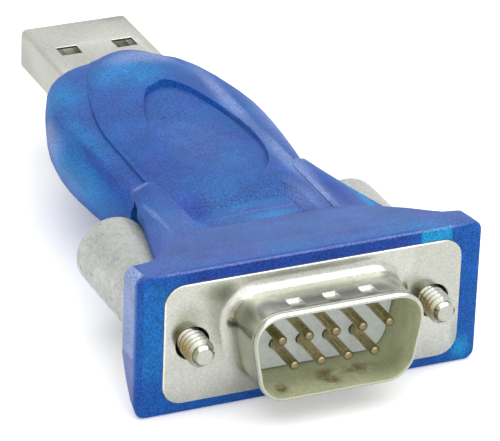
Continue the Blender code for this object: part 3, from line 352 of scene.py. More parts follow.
def patch_group():
    """Soft round patch about a place on the object: 1 in its middle, 0 past its size."""
    name = "soft patch"
    if name in bpy.data.node_groups:
        return bpy.data.node_groups[name]
    tree, start, end = new_group(
        name,
        [("Centre", 'NodeSocketVector', (0.0, 0.0, 0.0)),
         ("Size", 'NodeSocketVector', (0.01, 0.01, 0.01)),
         ("Softness", 'NodeSocketFloat', 0.95)],
        [("Mask", 'NodeSocketFloat')])
    place = put(tree, 'ShaderNodeTexCoord')
    offset = put(tree, 'ShaderNodeVectorMath', operation='SUBTRACT')
    scaled = put(tree, 'ShaderNodeVectorMath', operation='DIVIDE')
    reach = put(tree, 'ShaderNodeVectorMath', operation='LENGTH')
    inner = put(tree, 'ShaderNodeMath', {0: 1.0}, operation='SUBTRACT')
    fade = put(tree, 'ShaderNodeMapRange', {"From Max": 1.0, "To Min": 1.0, "To Max": 0.0},
               interpolation_type='SMOOTHERSTEP')
    tree.links.new(place.outputs["Object"], offset.inputs[0])
    tree.links.new(start.outputs["Centre"], offset.inputs[1])
    tree.links.new(offset.outputs["Vector"], scaled.inputs[0])
    tree.links.new(start.outputs["Size"], scaled.inputs[1])
    tree.links.new(scaled.outputs["Vector"], reach.inputs[0])
    tree.links.new(start.outputs["Softness"], inner.inputs[1])
    tree.links.new(reach.outputs["Value"], fade.inputs["Value"])
    tree.links.new(inner.outputs["Value"], fade.inputs["From Min"])
    tree.links.new(fade.outputs["Result"], end.inputs["Mask"])
    return tree


def box_group():
    """Box shaped patch about a place on the object: 1 inside it, fading to 0 at its faces."""
    name = "box patch"
    if name in bpy.data.node_groups:
        return bpy.data.node_groups[name]
    tree, start, end = new_group(
        name,
        [("Centre", 'NodeSocketVector', (0.0, 0.0, 0.0)),
         ("Size", 'NodeSocketVector', (0.01, 0.01, 0.01)),
         ("Softness", 'NodeSocketFloat', 0.2)],
        [("Mask", 'NodeSocketFloat')])
    place = put(tree, 'ShaderNodeTexCoord')
    offset = put(tree, 'ShaderNodeVectorMath', operation='SUBTRACT')
    shares = put(tree, 'ShaderNodeVectorMath', operation='DIVIDE')
    sizes = put(tree, 'ShaderNodeVectorMath', operation='ABSOLUTE')
    parts = put(tree, 'ShaderNodeSeparateXYZ')
    wider = put(tree, 'ShaderNodeMath', operation='MAXIMUM')
    widest = put(tree, 'ShaderNodeMath', operation='MAXIMUM')
    inner = put(tree, 'ShaderNodeMath', {0: 1.0}, operation='SUBTRACT')
    fade = put(tree, 'ShaderNodeMapRange', {"From Max": 1.0, "To Min": 1.0, "To Max": 0.0},
               interpolation_type='SMOOTHSTEP')
    tree.links.new(place.outputs["Object"], offset.inputs[0])
    tree.links.new(start.outputs["Centre"], offset.inputs[1])
    tree.links.new(offset.outputs["Vector"], shares.inputs[0])
    tree.links.new(start.outputs["Size"], shares.inputs[1])
    tree.links.new(shares.outputs["Vector"], sizes.inputs[0])
    tree.links.new(sizes.outputs["Vector"], parts.inputs["Vector"])
    tree.links.new(parts.outputs["X"], wider.inputs[0])
    tree.links.new(parts.outputs["Y"], wider.inputs[1])
    tree.links.new(wider.outputs["Value"], widest.inputs[0])
    tree.links.new(parts.outputs["Z"], widest.inputs[1])
    tree.links.new(widest.outputs["Value"], fade.inputs["Value"])
    tree.links.new(start.outputs["Softness"], inner.inputs[1])
    tree.links.new(inner.outputs["Value"], fade.inputs["From Min"])
    tree.links.new(fade.outputs["Result"], end.inputs["Mask"])
    return tree


def facing_group():
    """How far a surface looks up, forward and sideways, as masks from 0 to 1."""
    name = "facing"
    if name in bpy.data.node_groups:
        return bpy.data.node_groups[name]
    tree, start, end = new_group(
        name,
        [("Up from", 'NodeSocketFloat', 0.25), ("Up to", 'NodeSocketFloat', 0.95)],
        [("Up", 'NodeSocketFloat'), ("Front", 'NodeSocketFloat'), ("Left", 'NodeSocketFloat')])
    place = put(tree, 'ShaderNodeTexCoord')
    parts = put(tree, 'ShaderNodeSeparateXYZ')
    tree.links.new(place.outputs["Normal"], parts.inputs["Vector"])
    up = put(tree, 'ShaderNodeMapRange', interpolation_type='SMOOTHSTEP')
    tree.links.new(parts.outputs["Z"], up.inputs["Value"])
    tree.links.new(start.outputs["Up from"], up.inputs["From Min"])
    tree.links.new(start.outputs["Up to"], up.inputs["From Max"])
    front = put(tree, 'ShaderNodeMapRange',
                {"From Min": -0.65, "From Max": -0.95}, interpolation_type='SMOOTHSTEP')
    tree.links.new(parts.outputs["Y"], front.inputs["Value"])
    left = put(tree, 'ShaderNodeMapRange',
               {"From Min": -0.15, "From Max": -0.8}, interpolation_type='SMOOTHSTEP')
    tree.links.new(parts.outputs["X"], left.inputs["Value"])
    for made, label in ((up, "Up"), (front, "Front"), (left, "Left")):
        tree.links.new(made.outputs["Result"], end.inputs[label])
    return tree


def inward_group():
    """1 on the walls that look in towards the connector's axis, 0 on all others."""
    name = "inward"
    if name in bpy.data.node_groups:
        return bpy.data.node_groups[name]
    tree, start, end = new_group(
        name, [("Axis", 'NodeSocketVector', tuple(CONNECTOR_FACE))], [("Mask", 'NodeSocketFloat')])
    place = put(tree, 'ShaderNodeTexCoord')
    offset = put(tree, 'ShaderNodeVectorMath', operation='SUBTRACT')
    across = put(tree, 'ShaderNodeVectorMath', {1: (1.0, 0.0, 1.0)}, operation='MULTIPLY')
    along = put(tree, 'ShaderNodeVectorMath', operation='DOT_PRODUCT')
    mask = put(tree, 'ShaderNodeMapRange', {"From Min": -0.2 * MM, "From Max": -1.0 * MM})
    tree.links.new(place.outputs["Object"], offset.inputs[0])
    tree.links.new(start.outputs["Axis"], offset.inputs[1])
    tree.links.new(offset.outputs["Vector"], across.inputs[0])
    tree.links.new(across.outputs["Vector"], along.inputs[0])
    tree.links.new(place.outputs["Normal"], along.inputs[1])
    tree.links.new(along.outputs["Value"], mask.inputs["Value"])
    tree.links.new(mask.outputs["Result"], end.inputs["Mask"])
    return tree


def rise_along(tree, axis, low, high):
    """0 before one place along an axis of the object, 1 past another."""
    place = put(tree, 'ShaderNodeTexCoord')
    parts = put(tree, 'ShaderNodeSeparateXYZ')
    ramp = put(tree, 'ShaderNodeMapRange', {"From Min": low, "From Max": high},
               interpolation_type='SMOOTHSTEP')
    tree.links.new(place.outputs["Object"], parts.inputs["Vector"])
    tree.links.new(parts.outputs[axis], ramp.inputs["Value"])
    return ramp.outputs["Result"]


def grouped(tree, group, values=None):
    """Add a node group with its plain input values."""
    node = tree.nodes.new('ShaderNodeGroup')
    node.node_tree = group
    for name, value in (values or {}).items():
        node.inputs[name].default_value = value
    return node


def mixed(tree, factor, first, second, kind='MIX'):
    """Mix two colours; each may be a socket or a plain colour."""
    node = put(tree, 'ShaderNodeMix', data_type='RGBA', blend_type=kind, clamp_factor=True)
    for socket, value in ((node.inputs["Factor"], factor), (node.inputs[6], first),
                          (node.inputs[7], second)):
        if isinstance(value, bpy.types.NodeSocket):
            tree.links.new(value, socket)
        elif isinstance(value, (int, float)):
            socket.default_value = value
        else:
            socket.default_value = (*value, 1.0)
    return node.outputs[2]


def scaled(tree, value, share):
    """A mask made weaker."""
    node = put(tree, 'ShaderNodeMath', {1: share}, operation='MULTIPLY')
    tree.links.new(value, node.inputs[0])
    return node.outputs["Value"]


def both(tree, first, second):
    """Product of two masks."""
    node = put(tree, 'ShaderNodeMath', operation='MULTIPLY')
    tree.links.new(first, node.inputs[0])
    tree.links.new(second, node.inputs[1])
    return node.outputs["Value"]


def ranged(tree, value, low, high):
    """Spread a mask between two values."""
    node = put(tree, 'ShaderNodeMapRange', {"To Min": low, "To Max": high})
    tree.links.new(value, node.inputs["Value"])
    return node.outputs["Result"]


def new_surface(name, **values):
    """Material with a Principled shader whose plain values are given by name."""
    surface = bpy.data.materials.new(name)
    surface.use_nodes = True
    shader = surface.node_tree.nodes["Principled BSDF"]
    for label, value in values.items():
        shader.inputs[label.replace("_", " ")].default_value = value
    return surface, surface.node_tree, shader


def grained(tree, grain, colour, low, high):
    """Lay the fine grain over a colour, from a darker to a lighter share of it."""
    light = ranged(tree, grain.outputs["Mask"], low, high)
    return mixed(tree, 1.0, colour, light, 'MULTIPLY')


def patch_mask(tree, shape, centre, size):
    """Mask of a patch placed and sized in millimetres from the connector's face."""
    groups = {"round": patch_group, "box": box_group}
    patch = grouped(tree, groups[shape](), {
        "Centre": CONNECTOR_FACE + Vector(centre) * MM, "Size": Vector(size) * MM})
    return patch.outputs["Mask"]


def bumped(tree, shader, height, strength, distance):
    """Raise fine relief on a shader."""
    bump = put(tree, 'ShaderNodeBump', {"Strength": strength, "Distance": distance})
    tree.links.new(height, bump.inputs["Height"])
    tree.links.new(bump.outputs["Normal"], shader.inputs["Normal"])


# Painted light on the blue wall: sheen along edges and lit ends, shade in grooves and valleys,
# glow where light comes through; each with its tint, its shape, its middle and its half size in
# millimetres from the connector's face, and its strength; later ones lie over earlier ones
HOUSING_PATCHES = (
    ("front", "round", (1.0, 30.6, 5.2), (5.4, 11.5, 1.0), 0.70),
    ("front", "round", (5.2, 14.6, 5.6), (2.0, 4.4, 1.4), 0.90),
    ("shade", "round", (-5.2, 27.0, 5.7), (3.4, 14.0, 1.8), 0.48),
    ("glow", "round", (11.6, 1.6, 7.6), (4.6, 2.6, 1.0), 0.30),
    ("glow", "round", (0.0, 1.0, 7.7), (17.0, 2.4, 0.9), 0.14),
    ("glow", "round", (15.9, 0.0, -5.8), (1.7, 1.5, 2.0), 0.80),
    ("glow", "box", (-16.5, 0.0, 1.6), (1.8, 0.8, 5.4), 0.20),
    ("glow", "round", (1.2, 12.7, 5.1), (4.6, 1.1, 0.9), 0.50),
    ("glow", "round", (-5.9, 13.6, 4.4), (0.9, 3.0, 1.2), 0.40),
    ("glow", "round", (0.8, 15.3, 5.2), (6.5, 1.2, 0.9), 0.22),
    ("glow", "round", (-2.0, 43.8, 7.2), (6.8, 4.8, 2.0), 0.52),
    ("glow", "round", (-8.6, 44.0, 5.0), (4.0, 6.5, 3.6), 0.42),
    ("glow", "round", (-9.6, 34.5, 4.9), (2.0, 8.0, 1.8), 0.34),
    ("glow", "round", (-11.4, 33.0, 2.0), (2.6, 17.0, 4.0), 0.50),
    ("glow", "round", (-10.6, 20.5, 1.0), (2.0, 3.0, 3.0), 0.30),
    ("glow", "round", (10.7, 12.0, 5.4), (0.9, 6.5, 1.4), 0.85),
    ("sheen", "round", (10.4, 32.0, 3.4), (3.2, 14.0, 4.0), 0.30),
    ("glow", "round", (11.2, 34.0, 2.0), (2.8, 14.0, 4.0), 0.45),
    ("glow", "round", (3.2, 25.4, 5.3), (3.6, 5.0, 0.8), 0.16),
    ("glow", "round", (-3.0, 18.5, 5.6), (5.0, 3.0, 1.2), 0.12),
    ("sheen", "round", (1.8, 46.4, 7.4), (7.0, 3.0, 2.0), 0.58),
    ("sheen", "round", (-11.0, 42.0, 2.6), (1.4, 9.5, 3.0), 0.62),
    ("sheen", "round", (-12.2, 34.0, 0.2), (2.0, 11.0, 3.0), 0.36),
    ("sheen", "round", (6.9, 37.0, 6.0), (1.8, 13.0, 1.4), 0.50),
    ("sheen", "round", (7.4, 22.5, 5.6), (1.9, 10.0, 1.4), 0.50),
    ("sheen", "round", (7.3, 14.6, 5.7), (0.8, 7.0, 1.0), 0.60),
    ("sheen", "round", (5.2, 14.0, 5.6), (2.0, 6.0, 1.4), 0.20),
    ("sheen", "round", (8.9, 22.6, 5.0), (2.0, 1.0, 1.2), 0.40),
    ("sheen", "round", (-8.8, 21.9, 5.3), (2.4, 0.5, 0.9), 0.45),
    ("sheen", "round", (-9.9, 14.6, 5.3), (0.45, 6.0, 0.9), 0.42),
    # Painted light: the flange's left end is lit pale, and painted shade darkens its lower part
    ("sheen", "box", (-18.0, 4.3, 0.0), (0.9, 3.8, 16.0), 1.00),
    ("violet", "box", (-18.0, 4.3, -4.6), (0.9, 3.8, 3.6), 0.45),
    ("sheen", "box", (0.0, 13.9, 5.3), (4.6, 0.16, 0.5), 0.12),
    ("shade", "round", (-10.0, 31.0, 4.35), (0.8, 9.5, 1.4), 0.85),
    ("shade", "round", (-7.2, 29.0, 5.9), (0.7, 13.0, 1.2), 0.45),
    ("shade", "round", (-9.0, 22.0, 1.6), (2.6, 1.8, 3.4), 0.60),
    ("shade", "round", (8.8, 14.6, 5.7), (1.2, 7.0, 1.2), 0.80),
    ("shade", "box", (-1.5, 0.0, 6.72), (13.2, 0.6, 0.95), 0.85),
    ("shade", "box", (-17.8, 0.0, 2.0), (0.4, 0.4, 9.0), 0.45),
    ("shade", "round", (-5.6, 16.0, 5.1), (2.6, 4.5, 1.4), 0.80),
    ("glow", "box", (12.7, 0.0, 6.75), (1.75, 0.6, 0.85), 0.95),
    ("sheen", "box", (0.0, 0.0, 7.54), (17.0, 0.20, 0.20), 0.40),
)


def blue_plastic(settings):
    """Translucent frosted blue plastic with painted light: lilac sheen above, deeper blue in
    front, cyan where light leaks.
    """
    surface, tree, shader = new_surface("translucent blue plastic", Specular_IOR_Level=0.15)
    facing = grouped(tree, facing_group())
    grain = grouped(tree, speckle_group(), {"Scale": 6500.0, "Clouds": 330.0})
    drift = grouped(tree, speckle_group(), {"Scale": 3000.0, "Clouds": 190.0})
    # Painted light: faces that look up take the paler lilac front and cover colours as painted
    # sheen, other faces the deep colour, faces that look forward the face colour
    above = mixed(tree, rise_along(tree, "Y", CONNECTOR_FACE.y + 12 * MM,
                                   CONNECTOR_FACE.y + 19 * MM),
                  tuple(settings.front_colour), tuple(settings.cover_colour))
    colour = mixed(tree, facing.outputs["Up"], tuple(settings.deep_colour), above)
    colour = mixed(tree, facing.outputs["Front"], colour, tuple(settings.face_colour))
    tints = {"glow": settings.glow_colour, "sheen": settings.sheen_colour,
             "front": settings.front_colour, "shade": settings.shade_colour,
             "violet": settings.violet_colour}
    for tint, shape, centre, size, strength in HOUSING_PATCHES:
        mask = patch_mask(tree, shape, centre, size)
        colour = mixed(tree, scaled(tree, mask, strength), colour, tuple(tints[tint]))
    upper = ranged(tree, facing.outputs["Up"], 0.25, 1.0)
    colour = mixed(tree, both(tree, ranged(tree, drift.outputs["Cloud"], 0.20, 0.0), upper),
                   colour, tuple(settings.teal_colour))
    colour = mixed(tree, both(tree, ranged(tree, drift.outputs["Cloud"], 0.0, 0.18), upper),
                   colour, tuple(settings.violet_colour))
    cloud = ranged(tree, grain.outputs["Cloud"], 0.88, 1.12)
    colour = mixed(tree, 1.0, colour, cloud, 'MULTIPLY')
    colour = grained(tree, grain, colour, 1.0 - settings.grain, 1.0 + settings.grain)
    rays = put(tree, 'ShaderNodeLightPath')
    colour = mixed(tree, scaled(tree, rays.outputs["Is Glossy Ray"], 0.90), colour,
                   tuple(settings.mirrored_colour))
    tree.links.new(colour, shader.inputs["Base Color"])
    tree.links.new(ranged(tree, grain.outputs["Mask"], 0.42, 0.60), shader.inputs["Roughness"])
    bumped(tree, shader, grain.outputs["Height"], 0.3, 0.02 * MM)
    return surface


def plated_nickel(settings, name="satin nickel", roughness=None, axis=None, side_share=0.12,
                  shaded=()):
    """Satin nickel over stamped or turned steel; darker on walls that look in to an axis.

    side_share is the strength of the painted olive shade on faces that look left, and shaded holds
    the middles and half sizes of brown patches of painted shade, in millimetres from the
    connector's face."""
    rough = settings.nickel_roughness if roughness is None else roughness
    surface, tree, shader = new_surface(name, Metallic=1.0)
    grain = grouped(tree, speckle_group(), {"Scale": 5200.0, "Clouds": 160.0})
    dull = tuple(0.9 * channel for channel in settings.nickel_colour)
    colour = mixed(tree, grain.outputs["Cloud"], dull, tuple(settings.nickel_colour))
    colour = grained(tree, grain, colour, 0.86, 1.12)
    facing = grouped(tree, facing_group())
    # Painted shade: faces that look left take the olive
    colour = mixed(tree, scaled(tree, facing.outputs["Left"], side_share), colour,
                   tuple(settings.olive_colour))
    for centre, size in shaded:
        mask = both(tree, patch_mask(tree, "round", centre, size),
                    ranged(tree, grain.outputs["Mask"], 0.6, 1.2))
        colour = mixed(tree, mask, colour, tuple(settings.brown_colour))
    # Painted shade on the walls that look in to the axis
    if axis:
        inside = grouped(tree, inward_group(), {"Axis": axis}).outputs["Mask"]
        colour = mixed(tree, inside, colour, tuple(settings.dark_colour))
    tree.links.new(colour, shader.inputs["Base Color"])
    tree.links.new(ranged(tree, grain.outputs["Cloud"], rough - 0.06, rough + 0.08),
                   shader.inputs["Roughness"])
    bumped(tree, shader, grain.outputs["Height"], 0.12, 0.02 * MM)
    return surface


# Painted shade and highlights on and round the D's three dents, from left to right
DENT_SPACING = 3.72
DENT_PATCHES = tuple(
    (tint, shape, (index * DENT_SPACING, y, z), size, strength)
    for tint, shape, y, z, size, strength in (
        ("dark", "round", -4.5, 4.6, (1.25, 0.95, 0.6), 0.55),
        ("light", "round", -4.1, 4.5, (0.85, 0.75, 0.5), 0.22),
        ("light", "box", -3.10, 4.45, (0.72, 0.15, 0.3), 1.00))
    for index in (-1, 0, 1))

# Tints of what the serial shell mirrors, laid out as the housing's
SHELL_PATCHES = (
    ("olive", "round", (-12.9, 0.0, 2.6), (2.6, 1.5, 2.6), 0.55),
    ("olive", "round", (-10.4, 0.0, 5.0), (3.0, 0.8, 1.4), 0.50),
    ("olive", "round", (-2.0, 0.0, 5.5), (12.0, 0.8, 0.5), 0.25),
    ("olive", "round", (10.0, 0.0, 2.2), (2.0, 1.0, 1.7), 0.45),
    ("brown", "round", (-14.0, 0.0, 1.2), (1.5, 1.0, 1.4), 0.35),
    ("olive", "box", (13.2, 0.0, 2.5), (3.2, 0.4, 4.4), 0.12),
    ("teal", "round", (15.1, 0.0, -4.0), (0.8, 0.6, 3.6), 0.65),
    ("light", "box", (0.0, 0.0, 6.28), (14.8, 0.5, 0.20), 0.95),
    ("light", "box", (-15.42, 0.0, 0.0), (0.20, 0.5, 5.4), 0.80),
    ("olive", "round", (0.0, -1.9, 4.6), (9.5, 1.6, 0.8), 0.40),
    ("dark", "round", (0.0, -3.4, 4.6), (9.5, 2.6, 0.7), 0.50),
    ("dark", "round", (9.0, -1.1, 3.9), (1.3, 1.0, 1.0), 0.85),
    ("dark", "round", (-8.5, -2.8, 3.6), (2.2, 3.0, 2.1), 0.90),
    ("dark", "round", (-8.8, -1.4, 1.6), (0.9, 1.5, 1.8), 0.35),
    ("dark", "round", (0.4, -5.0, 4.6), (9.5, 0.40, 0.6), 0.45),
    *DENT_PATCHES,
    ("dark", "round", (7.4, -3.2, 4.4), (1.7, 1.3, 0.8), 0.45),
    ("brown", "round", (-8.7, -0.9, 2.6), (0.8, 0.9, 1.8), 0.45),
    ("brown", "round", (-4.9, -4.0, -4.2), (1.3, 1.9, 0.8), 0.85),
    ("brown", "round", (0.2, -3.7, -4.2), (1.9, 2.4, 0.8), 1.00),
    ("brown", "round", (3.6, -3.2, -4.2), (3.0, 1.6, 0.8), 0.90),
    ("olive", "round", (5.8, -4.0, -3.4), (3.8, 2.8, 2.6), 0.75),
    ("light", "round", (-11.5, 0.0, -4.4), (5.5, 0.6, 3.2), 0.40),
    ("olive_reflection", "round", (-8.2, -2.6, -1.6), (1.4, 2.8, 2.6), 0.60),
)


def shell_nickel(settings):
    """Bright drawn nickel of the serial shell, with painted reflections in olive inside and where
    it looks away.
    """
    surface, tree, shader = new_surface("bright nickel")
    grain = grouped(tree, speckle_group(), {"Scale": 5200.0, "Clouds": 800.0})
    facing = grouped(tree, facing_group())
    below = put(tree, 'ShaderNodeMath', {0: 1.0}, operation='SUBTRACT')
    tree.links.new(rise_along(tree, "Z", CONNECTOR_FACE.z + 4.15 * MM,
                              CONNECTOR_FACE.z + 4.3 * MM), below.inputs[1])
    inside = both(tree, grouped(tree, inward_group()).outputs["Mask"], below.outputs["Value"])
    low, high = (tuple(share * channel for channel in settings.nickel_colour)
                 for share in (1.04, 1.12))
    colour = mixed(tree, grain.outputs["Cloud"], low, high)
    # Painted reflection: below the D's top, faces that look left take the olive of darker
    # surroundings
    leftward = both(tree, facing.outputs["Left"], below.outputs["Value"])
    colour = mixed(tree, scaled(tree, leftward, 0.45), colour, tuple(settings.olive_colour))
    # Painted reflection: the inner walls take the olive reflection tint and lose most of their
    # metal
    olive_reflection = mixed(tree, scaled(tree, grain.outputs["Cloud"], 0.35),
                   tuple(settings.olive_reflection_colour), tuple(settings.olive_colour))
    colour = mixed(tree, inside, colour, olive_reflection)
    tints = {"olive": settings.olive_colour, "dark": settings.dark_colour,
             "brown": settings.brown_colour, "teal": settings.teal_colour,
             "light": settings.highlight_colour, "olive_reflection": settings.olive_reflection_colour}
    for tint, shape, centre, size, strength in SHELL_PATCHES:
        mask = patch_mask(tree, shape, centre, size)
        if tint == "brown":
            mask = both(tree, mask, ranged(tree, grain.outputs["Cloud"], 0.0, 1.6))
        colour = mixed(tree, scaled(tree, mask, strength), colour, tuple(tints[tint]))
    colour = grained(tree, grain, colour, 0.86, 1.12)
    tree.links.new(colour, shader.inputs["Base Color"])
    tree.links.new(ranged(tree, inside, 1.0, 0.2), shader.inputs["Metallic"])
    tree.links.new(ranged(tree, inside, 0.22, 0.5), shader.inputs["Roughness"])
    bumped(tree, shader, grain.outputs["Height"], 0.12, 0.02 * MM)
    return surface


def plated_gold(settings):
    """Thin gold over the pins, with painted shade on their tips and near their roots."""
    surface, tree, shader = new_surface("gold plating", Metallic=1.0)
    grain = grouped(tree, speckle_group(), {"Scale": 1500.0, "Clouds": 420.0})
    dark = tuple(0.6 * channel for channel in settings.gold_colour)
    colour = mixed(tree, grain.outputs["Cloud"], dark, tuple(settings.gold_colour))
    facing = grouped(tree, facing_group())
    # Painted shade: the tips, the shaft just behind them and the roots take a darker gold
    painted_light = tuple(0.36 * channel for channel in settings.gold_colour)
    colour = mixed(tree, scaled(tree, facing.outputs["Front"], 0.85), colour, painted_light)
    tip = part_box("serial_pin_1")[0].y
    shaft = rise_along(tree, "Y", tip + 0.15 * MM, tip + 0.55 * MM)
    colour = mixed(tree, ranged(tree, shaft, 0.8, 0.0), colour, painted_light)
    root = rise_along(tree, "Y", CONNECTOR_FACE.y - 2.0 * MM, CONNECTOR_FACE.y + 0.5 * MM)
    colour = mixed(tree, scaled(tree, root, 0.8), colour, painted_light)
    tree.links.new(colour, shader.inputs["Base Color"])
    tree.links.new(ranged(tree, grain.outputs["Mask"], 0.2, 0.34), shader.inputs["Roughness"])
    bumped(tree, shader, grain.outputs["Height"], 0.1, 0.01 * MM)
    return surface


def frosted_clear(settings):
    """Clear plastic of the knobs, cast with cloudy flow marks, with painted shade on faces that
    look up.
    """
    surface, tree, shader = new_surface(
        "frosted clear plastic", Transmission_Weight=0.35, IOR=1.49)
    grain = grouped(tree, speckle_group(), {"Scale": 2600.0, "Clouds": 520.0})
    green = tuple(0.62 * channel for channel in settings.knob_colour)
    colour = mixed(tree, grain.outputs["Cloud"], green, tuple(settings.knob_colour))
    facing = grouped(tree, facing_group())
    # Painted shade: faces that look up are darker
    colour = mixed(tree, scaled(tree, facing.outputs["Up"], 0.9), colour, green)
    colour = grained(tree, grain, colour, 0.80, 1.20)
    tree.links.new(colour, shader.inputs["Base Color"])
    tree.links.new(ranged(tree, grain.outputs["Cloud"], 0.22, 0.42), shader.inputs["Roughness"])
    bumped(tree, shader, grain.outputs["Height"], 0.5, 0.05 * MM)
    return surface


def moulded(name, colour, roughness, grain_scale=2200.0):
    """Plain moulded plastic, lacquer or ceramic with fine grain and soft clouds."""
    surface, tree, shader = new_surface(name)
    grain = grouped(tree, speckle_group(), {"Scale": grain_scale, "Clouds": 300.0})
    low = tuple(0.88 * channel for channel in colour)
    tone = mixed(tree, grain.outputs["Cloud"], low, colour)
    tone = grained(tree, grain, tone, 0.94, 1.05)
    tree.links.new(tone, shader.inputs["Base Color"])
    tree.links.new(ranged(tree, grain.outputs["Mask"], roughness - 0.06, roughness + 0.08),
                   shader.inputs["Roughness"])
    bumped(tree, shader, grain.outputs["Height"], 0.15, 0.02 * MM)
    return surface


# Making pieces

def finished(name, mesh, surface, body, smooth_angle, replaces=()):
    """Turn a bmesh into a piece of the object that rides on a body."""
    data = bpy.data.meshes.new(name)
    mesh.to_mesh(data)
    mesh.free()
    data.shade_smooth()
    data.set_sharp_from_angle(angle=smooth_angle)
    data.materials.append(surface)
    piece = bpy.data.objects.new(name, data)
    bpy.context.collection.objects.link(piece)
    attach(piece, body)
    if replaces:
        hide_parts(*replaces)
    return piece


def merged_copy(node):
    """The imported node's mesh with its loose triangles joined and flat faces made whole."""
    mesh = bmesh.new()
    mesh.from_mesh(frame["nodes"][node].data)
    bmesh.ops.remove_doubles(mesh, verts=mesh.verts, dist=0.002 * MM)
    bmesh.ops.dissolve_limit(mesh, angle_limit=math.radians(1.0), verts=mesh.verts,
                             edges=mesh.edges, delimit={'NORMAL'})
    return mesh


def round_edges(mesh, radius, sharper_than, segments=2):
    """Round every edge that is sharper than an angle."""
    edges = [edge for edge in mesh.edges
             if len(edge.link_faces) == 2 and edge.calc_face_angle(0.0) > sharper_than
             and edge.calc_length() > 0.5 * radius]
    bmesh.ops.bevel(mesh, geom=edges, offset=radius, offset_type='OFFSET', affect='EDGES',
                    segments=segments, profile=0.5, clamp_overlap=True, material=-1)


def turned(profile, segments):
    """Solid turned about the Y axis from radius and place pairs."""
    mesh = bmesh.new()
    line = [mesh.verts.new((radius, y, 0.0)) for radius, y in profile]
    edges = [mesh.edges.new(pair) for pair in zip(line, line[1:])]
    bmesh.ops.spin(mesh, geom=line + edges, cent=(0, 0, 0), axis=(0, 1, 0),
                   angle=2 * math.pi, steps=segments, use_merge=True)
    bmesh.ops.remove_doubles(mesh, verts=mesh.verts, dist=0.001 * MM)
    bmesh.ops.recalc_face_normals(mesh, faces=mesh.faces)
    return mesh


def push_walls(walls, distance):
    """Move walls, each given with its direction; where two meet, they move between both."""
    pushes = {}
    for face, level in walls:
        for vert in face.verts:
            pushes.setdefault(vert, []).append(level)
    for vert, levels in pushes.items():
        vert.co += sum(levels, Vector()).normalized() * distance


def fade(value, start, length):
    """0 up to a start, 1 past a length after it, even between."""
    return min(1.0, max(0.0, (value - start) / length))


def rounded_face(mesh, half_below, half_above, half_height, radius, segments):
    """One flat face that looks along +Z, with its four corners rounded."""
    verts = bmesh.ops.create_grid(mesh, x_segments=1, y_segments=1, size=1.0)["verts"]
    face = verts[0].link_faces[0]
    slope = math.atan2(half_above - half_below, 2 * half_height)
    corners = {True: [], False: []}
    for vert in verts:
        above = vert.co.y > 0
        half_width = half_above if above else half_below
        vert.co = (math.copysign(half_width, vert.co.x), math.copysign(half_height, vert.co.y), 0)
        corners[above].append(vert)
    for above, pair in corners.items():
        angle = math.pi / 2 + (-slope if above else slope)
        bmesh.ops.bevel(mesh, geom=pair, offset=radius / math.tan(angle / 2),
                        offset_type='OFFSET', affect='VERTICES', segments=segments,
                        profile=0.5, clamp_overlap=False, material=-1)
        level = (item for item in mesh.faces
                 if abs(item.calc_center_median().z) < 1e-9 and item.normal.z > 0.5)
        face = max(level, key=lambda item: item.calc_area())
    return face


def draw(mesh, face, inwards, out):
    """Draw a face on by a step: in from its outline and out along its own direction."""
    bmesh.ops.inset_region(mesh, faces=[face], thickness=inwards, depth=out,
                           use_boundary=True, use_even_offset=True)


def add_mesh(whole, other):
    """Put one bmesh into another and free it."""
    carrier = bpy.data.meshes.new("carrier")
    other.to_mesh(carrier)
    other.free()
    whole.from_mesh(carrier)
    bpy.data.meshes.remove(carrier)


def body_of(node):
    """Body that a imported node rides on."""
    bodies = frame["record"]["behaviour"]["bodies"]
    return next(body for body, nodes in bodies.items() if node in nodes)


def dress(nodes, surface):
    """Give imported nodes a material, with their shape as it is."""
    for node in nodes:
        data = frame["nodes"][node].data
        data.materials.clear()
        data.materials.append(surface)


# Operators

class ADAPTER_OT_camera(Operator):
    """Set the camera where the photograph was taken from"""

    bl_idname = "adapter.camera"
    bl_label = "Camera"

    def execute(self, context):
        azimuth, elevation, roll = (math.radians(a) for a in (-24.95, 26.82, 2.26))
        distance, focal_pixels, width_pixels = 386.1 * MM, 4077.9, 500
        slide_right, slide_up = -5.96 * MM, 9.47 * MM
        back = Vector((math.sin(azimuth) * math.cos(elevation),
                       -math.cos(azimuth) * math.cos(elevation), math.sin(elevation)))
        right = Vector((math.cos(azimuth), math.sin(azimuth), 0.0))
        up = back.cross(right)
        turned_right = right * math.cos(roll) + up * math.sin(roll)
        turned_up = up * math.cos(roll) - right * math.sin(roll)
        place = (CONNECTOR_FACE + back * distance + turned_right * slide_right
                 + turned_up * slide_up)
        data = bpy.data.cameras.new("camera")
        data.sensor_fit = 'HORIZONTAL'
        data.sensor_width = 36.0
        data.lens = data.sensor_width * focal_pixels / width_pixels
        data.clip_start = 0.01
        data.clip_end = 20.0
        camera = bpy.data.objects.new("camera", data)
        context.collection.objects.link(camera)
        camera.matrix_world = Matrix((
            (turned_right.x, turned_up.x, back.x, place.x),
            (turned_right.y, turned_up.y, back.y, place.y),
            (turned_right.z, turned_up.z, back.z, place.z),
            (0.0, 0.0, 0.0, 1.0)))
        context.scene.camera = camera
        return {'FINISHED'}


